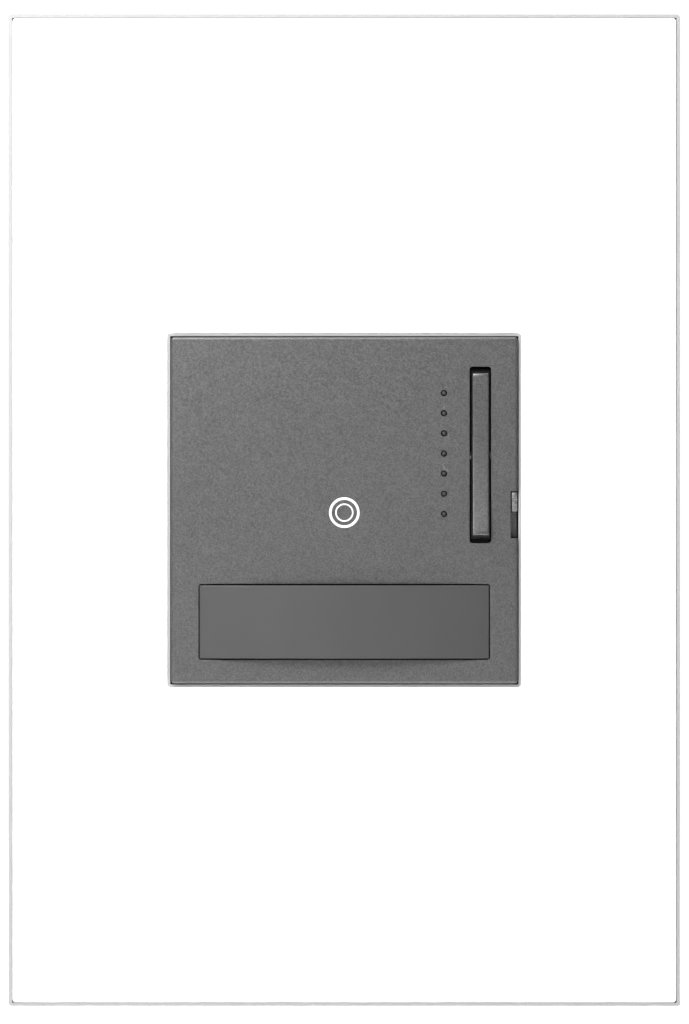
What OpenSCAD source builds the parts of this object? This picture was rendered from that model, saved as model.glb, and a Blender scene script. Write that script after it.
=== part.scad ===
// Wall dimmer for a one-gang box: a square tap plate with a tilting level bar, a row of
// level lights, a curved motion-sensor lens and a small air-gap slide, in a two-layer plate.
//
// Millimetres. The part's frame has +X to the right, +Z up and the front facing -Y. The origin
// is on the wall's surface, at the middle of the plate. Every module is drawn in the face
// frame (x right, y up, z out of the wall) and placed() turns it into the part's frame.

/* [Wall plate] */
// Width of the whole plate
plate_w = 88; // [86:0.5:92]
// Height of the whole plate
plate_h = 130; // [128:0.5:134]
// Distance from the wall to the front of the white cover
plate_front = 8; // [7.9:0.1:8.2]
// Thickness of the white cover
cover_t = 1.6; // [1.4:0.1:1.8]
// Width of the grey base that shows round the cover
base_margin = 0.5; // [0.3:0.1:0.8]
// Side of the square opening in the cover
cover_opening = 46.4; // [46.2:0.1:46.6]
// Radius of the corners of the plate
plate_corner = 0.4; // [0.2:0.1:1]

/* [Face plate] */
// Side of the square face plate
face_w = 45.4; // [45.2:0.1:45.6]
// Distance from the wall to the front of the face plate
face_front = 8.6; // [8.5:0.1:8.8]
// Thickness of the front wall of the face plate
face_t = 1.6; // [1.4:0.1:1.6]
// Bevel round the front edge
face_bevel = 0.3; // [0.2:0.1:0.5]

/* [Ring icon] */
// Middle radius of the outer ring
ring_outer_r = 1.844; // [1.6:0.01:2]
// Width of the outer ring's line
ring_outer_line = 0.35; // [0.2:0.01:0.5]
// Middle radius of the inner ring
ring_inner_r = 1.10; // [0.9:0.01:1.2]
// Width of the inner ring's line
ring_inner_line = 0.21; // [0.15:0.01:0.3]

/* [Level lights] */
// Number of lights
light_count = 7; // [5:1:7]
// Distance from one light to the next
light_pitch = 2.64; // [2.4:0.02:2.7]
// Distance of the row from the middle of the face
light_x = 13.06; // [12.8:0.02:13.3]
// Height of the top light above the middle of the face
light_top = 15.37; // [15:0.01:15.6]

/* [Level bar] */
// Distance of the bar from the middle of the face
bar_x = 17.87; // [17.8:0.01:17.9]
// Width of the bar where it meets the face
bar_w = 2.5; // [2.2:0.05:2.55]
// Radius of the hollow along the front of the bar
bar_hollow_r = 106; // [100:1:120]

/* [Sensor lens] */
// Width of the lens
lens_w = 38; // [37:0.1:38.2]
// Height of the lens
lens_h = 9.6; // [9.2:0.1:9.7]
// Height of the middle of the lens below the middle of the face
lens_drop = 14.625; // [14.5:0.025:14.7]
// How far the middle of the lens stands out of the face
lens_bulge = 1.8; // [1:0.1:2.2]
// Wall of the lens
lens_wall = 0.8; // [0.6:0.1:1]

/* [Box and fixing] */
// Distance between the box screws
box_screw_pitch = 83.3; // [83:0.1:83.6]
// Distance between the plate screws
plate_screw_pitch = 96.84; // [96.6:0.02:97]
// Radius of the box and plate screws
screw_r = 1.75; // [1.7:0.05:1.75]
// Depth of the housing behind the wall
housing_depth = 33; // [32:0.5:38]

/* [Hidden] */
$fn = 48;

cut = 0.1;                                  // how far a cutter runs past the face it opens
play = 0.02;                                // gap round a piece that sits in its seat
slip = 0.1;                                 // gap on each side of a piece that drops in

// Wall plate
cover_back = plate_front - cover_t;
base_wall = 1.8;
base_top_t = 1.4;
base_top = cover_back;
collar_foot = 3.2;
base_under = base_top - base_top_t;
collar_out = cover_opening / 2 + 0.9;
collar_in = cover_opening / 2 - 0.38;
collar_top = cover_back + 0.75;
lip_out = cover_opening / 2 - play;
lip_top = plate_front - 0.15;
rim_t = 0.45;
rim_top = plate_front - 0.2;
boss_r = 3;
clip_x = 38;
clip_ys = [-45, 0, 45];
clip_t = 1.2;
clip_w = 6;
clip_nib = 0.6;
clip_end = 3.4;

// Mounting frame
frame_t = 1.5;
frame_w = 54;
frame_h = 110;
frame_corner = 3;
frame_opening = 44.4;
screw_play = 0.15;
screw_head_r = 3.4;
screw_head_h = 2;
neck_r = 1.6;                               // box screws are thinner where they pass the frame
neck_end = -0.45;
retainer_t = 0.4;
recess_deep = 1;
recess_reach = 1.85;
recess_bar = 0.8;
ground_at = [-17, -33];

// Chassis
flange_w = 46.4;
flange_top = 2.7;
body_w = 44;
body_wall = 1.6;
upper_w = 42.4;
upper_in = 39.8;
deck_top = 5.6;
deck_under = 4;
split_z = -6;
corner_at = 17.9;
corner_post_w = 5.2;
thread_r = 1.2;
standoff_r = 1.5;
standoffs = [[-17, 15.5], [-17, -6.5], [8, 15.5], [8, -6.5]];
keeper_w = 2;
keeper_y = 10;
keeper_in = 18.2;

// Face plate and its hinge
face_back = face_front - face_t;
skirt_t = 1.1;
skirt_in = face_w - 2 * skirt_t;
skirt_back = 4;
hinge_y = 20.3;
hinge_z = 4.6;
hinge_r = 0.6;
hinge_play = 0.06;
hinge_left = -18.3;
hinge_right = 20.9;
hinge_rail = 1.7;
lug_x = 12;
lug_w = 4;
lug_side = 1.2;
lug_end = hinge_z - 1.1;
lug_gap = 0.3;
hook_w = 4;
hook_reach = 0.7;
hook_h = 0.6;
press_travel = 0.9;                         // travel of the lower edge of the face plate
icon_y = -0.3;
post_r = 1.4;
spring_at = [14, -6.8];
spring_r = 1.6;
spring_wire = 0.4;
spring_seat = 4.4;
spigot_r = 0.9;

// Openings in the face plate
slot_x0 = 16.42;
slot_x1 = 19.24;
slot_y0 = -4.32;
slot_y1 = 18.84;
slot_corner = 0.4;
light_hole_r = 0.42;
light_tip_r = 0.32;
notch_x0 = 21.8;
notch_y0 = -3.65;
notch_y1 = 2.5;
lens_gap = 0.125;
ring_depth = 0.8;

// Level bar: its side view, from the bottom end to the top end
bar_y0 = -3.8;
bar_y1 = 18.26;
bar_pin_y = 7.2;
bar_pin_z = 4.4;
bar_pin_r = 0.55;
bar_pin_x0 = 15.4;
bar_low_tip = [-3.22, 10.2];
bar_high_tip = [17.87, 8.9];
bar_hollow_y = 14.67;
bar_hollow_low = 8.57;
bar_under = 6;
bar_foot_end = 3.2;
bar_foot_w = 1.8;
bar_foot_reach = 9.4;
bar_hub_w = 3.2;
bar_hub_end = 3.4;
bar_side_draft = 0.45;

// Boards
board_w = 38.2;
control_front = 1.6;
control_back = 0.4;
power_front = -8;
power_back = -9.6;
dome_h = 1.5;
tap_dome_r = 1.6;
bar_dome_r = 1.1;
guide_w = 1.7;
guide_back = 6.1;
shield_top = 5.4;
shield_end = 2.4;

// Parts on the control board
light_sensor_x = 10;
sensor_can_r = 3.2;
sensor_can_h = 3;
sensor_rim_r = 3.6;
sensor_rim_h = 0.4;
sensor_window_w = 3.2;
sensor_window_h = 2.4;
sensor_window_deep = 0.6;
led_w = 1.6;
led_h = 0.8;
led_t = 0.6;
chip_w = 7;
chip_t = 0.9;
chip_at = [-8, 6];
header_w = 16;
header_h = 2.5;
header_at = [0, -11.75];
sheet_w = 30;
sheet_front = -4;
sheet_back = -4.4;

// Parts on the power board
sink_half = 14.6;
sink_y0 = 18.8;
sink_y1 = 20.3;
triac_half = 5;
triac_y0 = 14.3;
triac_top = -13;
triac_end = -22;
triac_tab_y0 = 17.5;
triac_tab_end = -28.5;
triac_hole_z = -25.3;
triac_screw_r = 1.5;
triac_head_r = 2.7;
leg_pitch = 2.54;
leg_half = 0.35;
core_at = [-8, -4];
core_out = 7.5;
core_in = 4;
core_top = -11;
core_end = -17;
winding_t = 0.9;
box_capacitor_h = 12;
can_at = [-8.5, 9.2];
can_r = 4;
can_h = 15;
can_seal_r = 3.6;
disc_at = [6, -16];
disc_r = 5;
disc_y0 = -12;
disc_y1 = -8;
disc_lead = 2.5;
fuse_y = 8;
fuse_z = -11.2;
fuse_r = 1.2;
fuse_x0 = 2;
fuse_x1 = 10;
lead_r = 0.4;

// Air-gap slide
tab_h = 2.6;
tab_y0 = -0.2;
tab_travel = 3;
tab_front = 8.3;
tab_slide_top = 6.2;
tab_apron = 3.4;                            // how far the slide's floor runs on below the finger
tab_arm_z0 = 2.9;
tab_arm_z1 = 3.8;
tab_arm_x = 19.3;
leaf_t = 0.4;
leaf_end = -6.2;
contact_t = 0.8;
contact_front = -4.5;

// Rear housing and terminals
housing_back = -housing_depth;
housing_floor = 1.8;
term_y = 9.5;
term_z = -24.2;
term_seat = 17.6;
term_w = 9;
term_tall = 9.5;
term_wall = 1.4;
term_plate_t = 1;
term_screw_r = 1.75;
term_head_r = 3.3;
tail_w = 2;
board_ledge_y = 7;
screw_well_r = 2.4;
screw_well_deep = 3;
housing_head_r = 2.2;
housing_head_sunk = 0.9;

function light_y(i) = light_top - light_pitch * i;

// ---------------------------------------------------------------- shared shapes

module placed() {
    rotate([90, 0, 0]) children();
}

module block(x0, x1, y0, y1, z0, z1) {
    translate([x0, y0, z0]) cube([x1 - x0, y1 - y0, z1 - z0]);
}

module slab(w, h, z0, z1, at = [0, 0]) {
    translate([at[0] - w / 2, at[1] - h / 2, z0]) cube([w, h, z1 - z0]);
}

module rod_z(r, z0, z1, at = [0, 0]) {
    translate([at[0], at[1], z0]) cylinder(r = r, h = z1 - z0);
}

module rod_x(r, x0, x1, y, z) {
    translate([x0, y, z]) rotate([0, 90, 0]) cylinder(r = r, h = x1 - x0);
}

module rod_y(r, y0, y1, x, z) {
    translate([x, y0, z]) rotate([-90, 0, 0]) cylinder(r = r, h = y1 - y0);
}

module cone_z(r0, r1, z0, z1, at = [0, 0]) {
    translate([at[0], at[1], z0]) cylinder(r1 = r0, r2 = r1, h = z1 - z0);
}

module tube_z(r_out, r_in, z0, z1, at = [0, 0]) {
    difference() {
        rod_z(r_out, z0, z1, at);
        rod_z(r_in, z0 - cut, z1 + cut, at);
    }
}

// A flat block with round upright corners
module rounded_slab(w, h, r, z0, z1, at = [0, 0]) {
    translate([at[0], at[1], z0]) linear_extrude(z1 - z0) {
        square([w - 2 * r, h], center = true);
        square([w, h - 2 * r], center = true);
        for (sx = [-1, 1], sy = [-1, 1]) {
            translate([sx * (w / 2 - r), sy * (h / 2 - r)]) circle(r);
        }
    }
}

// A block whose front edges are bevelled at 45 degrees
module bevelled_slab(w, h, z0, z1, bevel) {
    intersection() {
        rotate([90, 0, 0]) linear_extrude(h, center = true) bevel_outline(w, z0, z1, bevel);
        rotate([90, 0, 90]) linear_extrude(w, center = true) bevel_outline(h, z0, z1, bevel);
    }
}

module bevel_outline(w, z0, z1, bevel) {
    polygon([
        [-w / 2, z0], [w / 2, z0], [w / 2, z1 - bevel],
        [w / 2 - bevel, z1], [bevel - w / 2, z1], [-w / 2, z1 - bevel]
    ]);
}

module both_sides() {
    for (side = [-1, 1]) {
        scale_x(side) children();
    }
}

module scale_x(side) {
    if (side < 0) {
        mirror([1, 0, 0]) children();
    } else {
        children();
    }
}

module four_corners(at) {
    for (sx = [-1, 1], sy = [-1, 1]) {
        translate([sx * at, sy * at, 0]) children();
    }
}

// Crossed recess for a driver, sunk from the top of a head at z
module cross_recess(z, reach = recess_reach, deep = recess_deep) {
    slab(2 * reach, recess_bar, z - deep, z + cut);
    slab(recess_bar, 2 * reach, z - deep, z + cut);
}

// ---------------------------------------------------------------- wall plate

module wall_plate_front() {
    color("white") placed() difference() {
        union() {
            difference() {
                rounded_slab(
                    plate_w - 2 * base_margin, plate_h - 2 * base_margin,
                    plate_corner, cover_back, plate_front
                );
                slab(
                    2 * (collar_out + slip), 2 * (collar_out + slip),
                    cover_back - cut, collar_top + slip / 2
                );
            }
            both_sides() for (y = clip_ys) {
                block(
                    clip_x - clip_t / 2, clip_x + clip_t / 2,
                    y - clip_w / 2, y + clip_w / 2, clip_end, cover_back + cut
                );
                translate([clip_x + clip_t / 2, y + clip_w / 2, 0]) rotate([90, 0, 0])
                    linear_extrude(clip_w) polygon([
                        [-cut, clip_end], [clip_nib, clip_end + 1],
                        [clip_nib, base_under - slip], [-cut, base_under - slip]
                    ]);
            }
        }
        slab(cover_opening, cover_opening, cover_back - cut, plate_front + cut);
    }
}

module wall_plate_base() {
    color("gainsboro") placed() difference() {
        union() {
            difference() {
                rounded_slab(plate_w, plate_h, plate_corner, 0, rim_top);
                slab(plate_w - 2 * base_wall, plate_h - 2 * base_wall, -cut, base_under);
                slab(plate_w - 2 * rim_t, plate_h - 2 * rim_t, base_top, rim_top + cut);
            }
            slab(2 * collar_out, 2 * collar_out, collar_foot, collar_top);
            slab(2 * lip_out, 2 * lip_out, collar_foot, lip_top);
            for (side = [-1, 1]) {
                rod_z(boss_r, frame_t, base_under + cut, [0, side * plate_screw_pitch / 2]);
            }
        }
        slab(2 * collar_in, 2 * collar_in, base_under - cut, lip_top + cut);
        slab(flange_w + 6 * slip, flange_w + 6 * slip, collar_foot - cut, base_under);
        both_sides() for (y = clip_ys) {
            block(
                clip_x - clip_t / 2 - 2 * slip, clip_x + clip_t / 2 + 3 * slip,
                y - clip_w / 2 - 3 * slip, y + clip_w / 2 + 3 * slip,
                base_under - cut, base_top + cut
            );
        }
        for (side = [-1, 1]) {
            at = [0, side * plate_screw_pitch / 2];
            hole_r = screw_r + screw_play;
            sink_r = screw_head_r + screw_play;
            rod_z(hole_r, 0, base_top + cut, at);
            cone_z(hole_r, sink_r, base_top - screw_head_h, base_top, at);
            rod_z(sink_r, base_top, base_top + cut, at);
        }
    }
}

module plate_screws() {
    shank_end = -3;
    head_top = base_top - slip;
    color("silver") placed() for (side = [-1, 1]) {
        translate([0, side * plate_screw_pitch / 2, 0]) difference() {
            union() {
                rod_z(screw_r, shank_end, base_top - screw_head_h);
                cone_z(screw_r, screw_head_r, base_top - screw_head_h, head_top);
            }
            cross_recess(head_top);
        }
    }
}

module mounting_frame() {
    slot_half = 1.6;
    color("silver") placed() difference() {
        rounded_slab(frame_w, frame_h, frame_corner, 0, frame_t);
        slab(frame_opening, frame_opening, -cut, frame_t + cut);
        for (side = [-1, 1]) {
            at = [0, side * box_screw_pitch / 2];
            slab(2 * slot_half, 2 * (screw_r + screw_play), -cut, frame_t + cut, at);
            for (end = [-1, 1]) {
                rod_z(screw_r + screw_play, -cut, frame_t + cut, [end * slot_half, at[1]]);
            }
            rod_z(screw_r + play, -cut, frame_t + cut, [0, side * plate_screw_pitch / 2]);
        }
        rod_z(screw_r + play, -cut, frame_t + cut, ground_at);
    }
}

module box_screws() {
    shank_end = -20;
    rim_h = 1.2;
    color("silver") placed() for (side = [-1, 1]) {
        translate([0, side * box_screw_pitch / 2, 0]) difference() {
            union() {
                rod_z(screw_r, shank_end, neck_end);
                rod_z(neck_r, neck_end - cut, frame_t + cut);
                rod_z(screw_head_r, frame_t, frame_t + rim_h);
                cone_z(screw_head_r, screw_head_r - 0.8, frame_t + rim_h, frame_t + screw_head_h);
            }
            cross_recess(frame_t + screw_head_h);
        }
    }
}

module screw_retainers() {
    color("saddlebrown") placed() for (side = [-1, 1]) {
        at = [0, side * box_screw_pitch / 2];
        difference() {
            rounded_slab(8, 6, 1, -retainer_t, 0, at);
            rod_z(neck_r + play, -retainer_t - cut, cut, at);
        }
    }
}

module ground_screw() {
    color("green") placed() translate([ground_at[0], ground_at[1], 0]) difference() {
        union() {
            rod_z(screw_r, -5, frame_t + cut);
            rod_z(screw_head_r, frame_t, frame_t + screw_head_h);
        }
        cross_recess(frame_t + screw_head_h);
    }
}

// ---------------------------------------------------------------- chassis and face

module chassis() {
    color("dimgray") placed() difference() {
        union() {
            chassis_shell();
            block(-upper_w / 2, upper_w / 2, hinge_y - hinge_rail, upper_w / 2, 2.9, deck_top);
            block(bar_pin_x0, upper_w / 2, bar_pin_y - 1.8, bar_pin_y + 1.8, 3.2, deck_top);
            for (at = standoffs) {
                rod_z(standoff_r, control_front, deck_under + cut, at);
            }
            corner_posts();
            board_keepers();
            side_latches();
        }
        deck_openings();
        // hinge pin's bore, open at its right end, and the room for the lugs
        rod_x(hinge_r + play, hinge_left - play, upper_w / 2 + cut, hinge_y, hinge_z);
        both_sides() block(
            lug_x - lug_w / 2 - lug_gap, lug_x + lug_w / 2 + lug_gap,
            hinge_y - lug_side - lug_gap, upper_w / 2 + cut, 2.8, deck_top + cut
        );
        rod_x(bar_pin_r + play, bar_pin_x0 - cut, upper_w / 2 + cut, bar_pin_y, bar_pin_z);
        // recesses for the hooks on the lower edge of the face plate
        both_sides() block(
            lug_x - hook_w / 2 - 4 * slip, lug_x + hook_w / 2 + 4 * slip,
            -upper_w / 2 - cut, -upper_w / 2 + hook_reach - slip,
            skirt_back - press_travel - 0.2, skirt_back + hook_h + 0.08
        );
        // slot in the right wall for the arm of the air-gap slide
        block(
            upper_in / 2 - 0.6, upper_w / 2 + cut,
            tab_y0 - tab_travel - 4 * slip, tab_y0 + tab_h + 4 * slip,
            tab_arm_z0 - slip, tab_arm_z1 + 0.15
        );
        four_corners(corner_at) rod_z(thread_r + play, split_z - cut, -0.6);
    }
}

module chassis_shell() {
    difference() {
        union() {
            slab(upper_w, upper_w, frame_t, deck_top);
            slab(flange_w, flange_w, frame_t, flange_top);
            slab(body_w, body_w, split_z, frame_t);
        }
        slab(upper_in, upper_in, 0, deck_under);
        slab(body_w - 2 * body_wall, body_w - 2 * body_wall, split_z - cut, frame_t);
    }
}

module corner_posts() {
    inner = corner_at - corner_post_w / 2;
    outer = body_w / 2 - cut;
    for (sx = [-1, 1], sy = [-1, 1]) {
        mirror([sx < 0 ? 1 : 0, 0, 0]) mirror([0, sy < 0 ? 1 : 0, 0])
            block(inner, outer, inner, outer, split_z, control_back);
    }
}

// Ribs that run back past the joint and hold the power board on its ledges
module board_keepers() {
    side = body_w / 2 - body_wall;
    both_sides() for (y = [-keeper_y, keeper_y]) {
        block(keeper_in, side - 0.1, y - keeper_w / 2, y + keeper_w / 2, power_front, -1);
        block(side - 0.2, side + cut, y - keeper_w / 2, y + keeper_w / 2, split_z, -1);
    }
}

// Wedges that snap behind the mounting frame
module side_latches() {
    latch_w = 8;
    both_sides() for (y = [-10, 10]) {
        translate([body_w / 2, y + latch_w / 2, 0]) rotate([90, 0, 0]) linear_extrude(latch_w)
            polygon([[-cut, -0.05], [0.9, -0.05], [0.9, -0.5], [-cut, -3]]);
    }
}

module deck_openings() {
    slab(
        lens_w + 2 * slip, lens_h + 2 * slip, deck_under - cut, deck_top + cut, [0, -lens_drop]
    );
    block(
        slot_x0, slot_x1, slot_y0 - 0.16, slot_y1 + 0.16, deck_under - 1, deck_top + cut
    );
    shield_window(slip, deck_under - cut, deck_top + cut);
    rod_z(post_r + 0.5, deck_under - cut, deck_top + cut, [0, icon_y]);
    both_sides() rod_z(spring_r + 0.2, spring_seat, deck_top + cut, spring_at);
}

module shield_window(gap, z0, z1) {
    row = light_pitch * (light_count - 1);
    block(
        light_x - 1.4 - gap, light_x + 1.4 + gap,
        light_top - row - 1.6 - gap, light_top + 1.6 + gap, z0, z1
    );
}

module face_plate() {
    color("dimgray") placed() difference() {
        union() {
            difference() {
                bevelled_slab(face_w, face_w, skirt_back, face_front, face_bevel);
                slab(skirt_in, skirt_in, skirt_back - cut, face_back);
            }
            both_sides() {
                block(
                    lug_x - lug_w / 2, lug_x + lug_w / 2,
                    hinge_y - lug_side, skirt_in / 2 + cut, lug_end, face_back + cut
                );
                block(
                    lug_x - hook_w / 2, lug_x + hook_w / 2,
                    -skirt_in / 2 - cut, -skirt_in / 2 + hook_reach, skirt_back, skirt_back + hook_h
                );
                rod_z(spigot_r, face_back - 1.2, face_back + cut, spring_at);
            }
            rod_z(post_r, control_front + dome_h + 0.1, face_back + cut, [0, icon_y]);
        }
        rounded_slab(
            slot_x1 - slot_x0, slot_y1 - slot_y0, slot_corner, face_back - cut, face_front + cut,
            [(slot_x0 + slot_x1) / 2, (slot_y0 + slot_y1) / 2]
        );
        slab(
            lens_w + 2 * slip, lens_h + 2 * lens_gap + slip, face_back - cut, face_front + cut,
            [0, -lens_drop]
        );
        block(notch_x0, face_w / 2 + cut, notch_y0, notch_y1, skirt_back - cut, face_front + cut);
        block(
            skirt_in / 2 - cut, face_w / 2 + cut, tab_y0 - tab_apron - tab_travel - 0.25, notch_y1,
            skirt_back - cut, face_back
        );
        for (i = [0 : light_count - 1]) {
            rod_z(light_hole_r, face_back - cut, face_front + cut, [light_x, light_y(i)]);
        }
        ring_groove(ring_outer_r, ring_outer_line);
        ring_groove(ring_inner_r, ring_inner_line);
        rod_x(hinge_r + hinge_play, -lug_x - lug_w, lug_x + lug_w, hinge_y, hinge_z);
    }
}

module ring_groove(r, line) {
    tube_z(
        r + line / 2 + 0.01, r - line / 2 - 0.01,
        face_front - ring_depth, face_front + cut, [0, icon_y]
    );
}

module ring_icon(r, line) {
    tube_z(r + line / 2, r - line / 2, face_front - ring_depth, face_front, [0, icon_y]);
}

module ring_icon_outer() {
    color("white") placed() ring_icon(ring_outer_r, ring_outer_line);
}

module ring_icon_inner() {
    color("white") placed() ring_icon(ring_inner_r, ring_inner_line);
}

module face_hinge_pin() {
    color("silver") placed() rod_x(hinge_r, hinge_left, hinge_right, hinge_y, hinge_z);
}

module level_light_guide() {
    row = light_pitch * (light_count - 1);
    color("whitesmoke") placed() {
        block(
            light_x - guide_w / 2, light_x + guide_w / 2,
            light_top - row - 1.2, light_top + 1.2, guide_back, face_back
        );
        for (i = [0 : light_count - 1]) {
            rod_z(light_tip_r, guide_back + 0.3, face_front - 0.15, [light_x, light_y(i)]);
        }
    }
}

module face_springs() {
    color("silver") placed() both_sides()
        tube_z(spring_r, spring_r - spring_wire, spring_seat, face_back, spring_at);
}

// ---------------------------------------------------------------- level bar

module dimmer_rocker() {
    color("gray") placed() difference() {
        intersection() {
            translate([bar_x - bar_w / 2, 0, 0]) rotate([90, 0, 90])
                linear_extrude(bar_w) bar_side_view();
            translate([bar_x, 30, 0]) rotate([90, 0, 0]) linear_extrude(60) polygon([
                [-bar_w / 2, 0], [bar_w / 2, 0], [bar_w / 2, face_front - 0.8],
                [bar_w / 2 - bar_side_draft, 12], [bar_side_draft - bar_w / 2, 12],
                [-bar_w / 2, face_front - 0.8]
            ]);
        }
        translate([bar_x - bar_w, bar_hollow_y, bar_hollow_low + bar_hollow_r])
            rotate([0, 90, 0]) cylinder(r = bar_hollow_r, h = 2 * bar_w, $fn = 720);
        rod_x(bar_pin_r + 0.05, bar_x - bar_w, bar_x + bar_w, bar_pin_y, bar_pin_z);
    }
}

module bar_side_view() {
    low_foot = bar_pin_y - bar_foot_reach;
    high_foot = bar_pin_y + bar_foot_reach;
    half_foot = bar_foot_w / 2;
    half_hub = bar_hub_w / 2;
    polygon([
        [bar_y0, bar_under + 0.4], [bar_y0, face_front - 0.6], bar_low_tip, bar_high_tip,
        [bar_y1, face_front - 1], [bar_y1, bar_under + 0.4],
        [high_foot + half_foot, bar_under + 0.4], [high_foot + half_foot, bar_foot_end],
        [high_foot - half_foot, bar_foot_end], [high_foot - half_foot, bar_under],
        [bar_pin_y + half_hub, bar_under], [bar_pin_y + half_hub, bar_hub_end],
        [bar_pin_y - half_hub, bar_hub_end], [bar_pin_y - half_hub, bar_under],
        [low_foot + half_foot, bar_under], [low_foot + half_foot, bar_foot_end],
        [low_foot - half_foot, bar_foot_end], [low_foot - half_foot, bar_under + 0.4]
    ]);
}

module rocker_pin() {
    color("silver") placed() rod_x(bar_pin_r, bar_pin_x0, upper_w / 2 - 0.3, bar_pin_y, bar_pin_z);
}

// ---------------------------------------------------------------- sensor lens

module sensor_lens() {
    half_w = lens_w / 2;
    half_h = lens_h / 2;
    bulge_r = (half_w * half_w + lens_bulge * lens_bulge) / (2 * lens_bulge);
    flange_z0 = 3.2;
    color("slategray") placed() translate([0, -lens_drop, 0]) {
        difference() {
            intersection() {
                slab(lens_w, lens_h, flange_z0, face_front + lens_bulge + cut);
                lens_drum(bulge_r, face_front + lens_bulge);
            }
            intersection() {
                slab(
                    lens_w - 2 * lens_wall, lens_h - 2 * lens_wall,
                    flange_z0 - cut, face_front + lens_bulge
                );
                lens_drum(bulge_r - lens_wall, face_front + lens_bulge - lens_wall);
            }
        }
        difference() {
            block(-19.6, 19.6, -half_h - 0.3, half_h + 0.8, flange_z0, deck_under);
            slab(lens_w - 2 * lens_wall, lens_h - 2 * lens_wall, flange_z0 - cut, deck_under + cut);
        }
    }
}

// The upright drum whose surface is the front of the lens
module lens_drum(r, front) {
    translate([0, 0, front - r]) rotate([90, 0, 0])
        cylinder(r = r, h = 2 * lens_h, center = true, $fn = 720);
}

// ---------------------------------------------------------------- air-gap slide

module air_gap_tab() {
    finger_x0 = notch_x0 + 0.12;
    finger_x1 = face_w / 2 - 0.04;
    slide_x0 = upper_w / 2 + 0.2;
    y1 = tab_y0 + tab_h;
    color("gray") placed() {
        block(finger_x0, finger_x1, tab_y0, y1, tab_slide_top - cut, tab_front);
        block(slide_x0, finger_x1, tab_y0 - tab_apron, y1, tab_arm_z0, tab_slide_top);
        block(tab_arm_x, slide_x0 + cut, tab_y0, y1, tab_arm_z0, tab_arm_z1);
    }
}

module air_gap_leaf() {
    color("goldenrod") placed() block(
        tab_arm_x, tab_arm_x + leaf_t, tab_y0 + 0.3, tab_y0 + tab_h - 0.3, leaf_end, tab_arm_z0
    );
}

module air_gap_contacts() {
    color("goldenrod") placed() for (y = [tab_y0 + 0.3, tab_y0 + 1.5]) {
        block(tab_arm_x - contact_t, tab_arm_x, y, y + contact_t, power_front, contact_front);
    }
}

// ---------------------------------------------------------------- control board

module dome(at, r) {
    cone_z(r, 0.7 * r, control_front, control_front + dome_h, at);
}

module on_off_dome() {
    color("whitesmoke") placed() dome([0, icon_y], tap_dome_r);
}

module brighter_dome() {
    color("whitesmoke") placed() dome([bar_x, bar_pin_y + bar_foot_reach], bar_dome_r);
}

module dimmer_dome() {
    color("whitesmoke") placed() dome([bar_x, bar_pin_y - bar_foot_reach], bar_dome_r);
}

module light_shield() {
    color("black") placed() difference() {
        union() {
            shield_window(0, shield_end, shield_top);
            shield_window(0.7, deck_under - 0.8, deck_under);
        }
        for (i = [0 : light_count - 1]) {
            rod_z(0.9, shield_end - cut, shield_top + cut, [light_x, light_y(i)]);
        }
    }
}

module level_leds() {
    color("khaki") placed() for (i = [0 : light_count - 1]) {
        slab(led_w, led_h, control_front, control_front + led_t, [light_x, light_y(i)]);
    }
}

module light_sensor() {
    color("black") placed()
        slab(2, 3, control_front, control_front + 1, [light_sensor_x, -lens_drop]);
}

module motion_sensor() {
    at = [0, -lens_drop];
    can_top = control_front + sensor_can_h;
    color("silver") placed() difference() {
        union() {
            rod_z(sensor_rim_r, control_front, control_front + sensor_rim_h, at);
            rod_z(sensor_can_r, control_front, can_top, at);
        }
        slab(sensor_window_w, sensor_window_h, can_top - sensor_window_deep, can_top + cut, at);
    }
}

module motion_sensor_window() {
    can_top = control_front + sensor_can_h;
    color("black") placed() slab(
        sensor_window_w - 2 * play, sensor_window_h - 2 * play,
        can_top - sensor_window_deep, can_top - slip, [0, -lens_drop]
    );
}

module controller_chip() {
    color("black") placed() slab(chip_w, chip_w, control_front, control_front + chip_t, chip_at);
}

module control_board() {
    color("darkgreen") placed() slab(board_w, board_w, control_back, control_front);
}

module board_header() {
    color("black") placed() slab(header_w, header_h, power_front, control_back, header_at);
}

module insulator_sheet() {
    color("ivory") placed() difference() {
        slab(sheet_w, sheet_w, sheet_back, sheet_front);
        slab(
            header_w + 2 * slip, header_h + 2 * slip,
            sheet_back - cut, sheet_front + cut, header_at
        );
    }
}

// ---------------------------------------------------------------- power board

module power_board() {
    color("darkgreen") placed() difference() {
        slab(board_w, board_w, power_back, power_front);
        four_corners(corner_at + 0.4) slab(6.4, 6.4, power_back - cut, power_front + cut);
    }
}

module heat_sink() {
    color("silver") placed() difference() {
        block(-sink_half, sink_half, sink_y0, sink_y1, housing_back + 2.2, power_back - 0.6);
        rod_y(triac_screw_r + play, sink_y0 - cut, sink_y1 + cut, 0, triac_hole_z);
    }
}

module power_triac() {
    leg_y = 16;
    color("black") placed() difference() {
        union() {
            block(-triac_half, triac_half, triac_y0, sink_y0, triac_end, triac_top);
            block(-triac_half, triac_half, triac_tab_y0, sink_y0, triac_tab_end, triac_end + cut);
            for (x = [-leg_pitch, 0, leg_pitch]) {
                block(x - leg_half, x + leg_half, leg_y, leg_y + 0.5, triac_top - cut, power_back);
            }
        }
        rod_y(triac_screw_r + slip, triac_tab_y0 - cut, sink_y0 + cut, 0, triac_hole_z);
    }
}

module triac_screw() {
    head_h = 1.9;
    color("silver") placed() {
        rod_y(triac_screw_r, triac_tab_y0 - cut, sink_y1 - slip, 0, triac_hole_z);
        rod_y(triac_head_r, triac_tab_y0 - head_h, triac_tab_y0, 0, triac_hole_z);
    }
}

module choke_core() {
    color("darkslategray") placed() tube_z(core_out, core_in, core_end, core_top, core_at);
}

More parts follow.
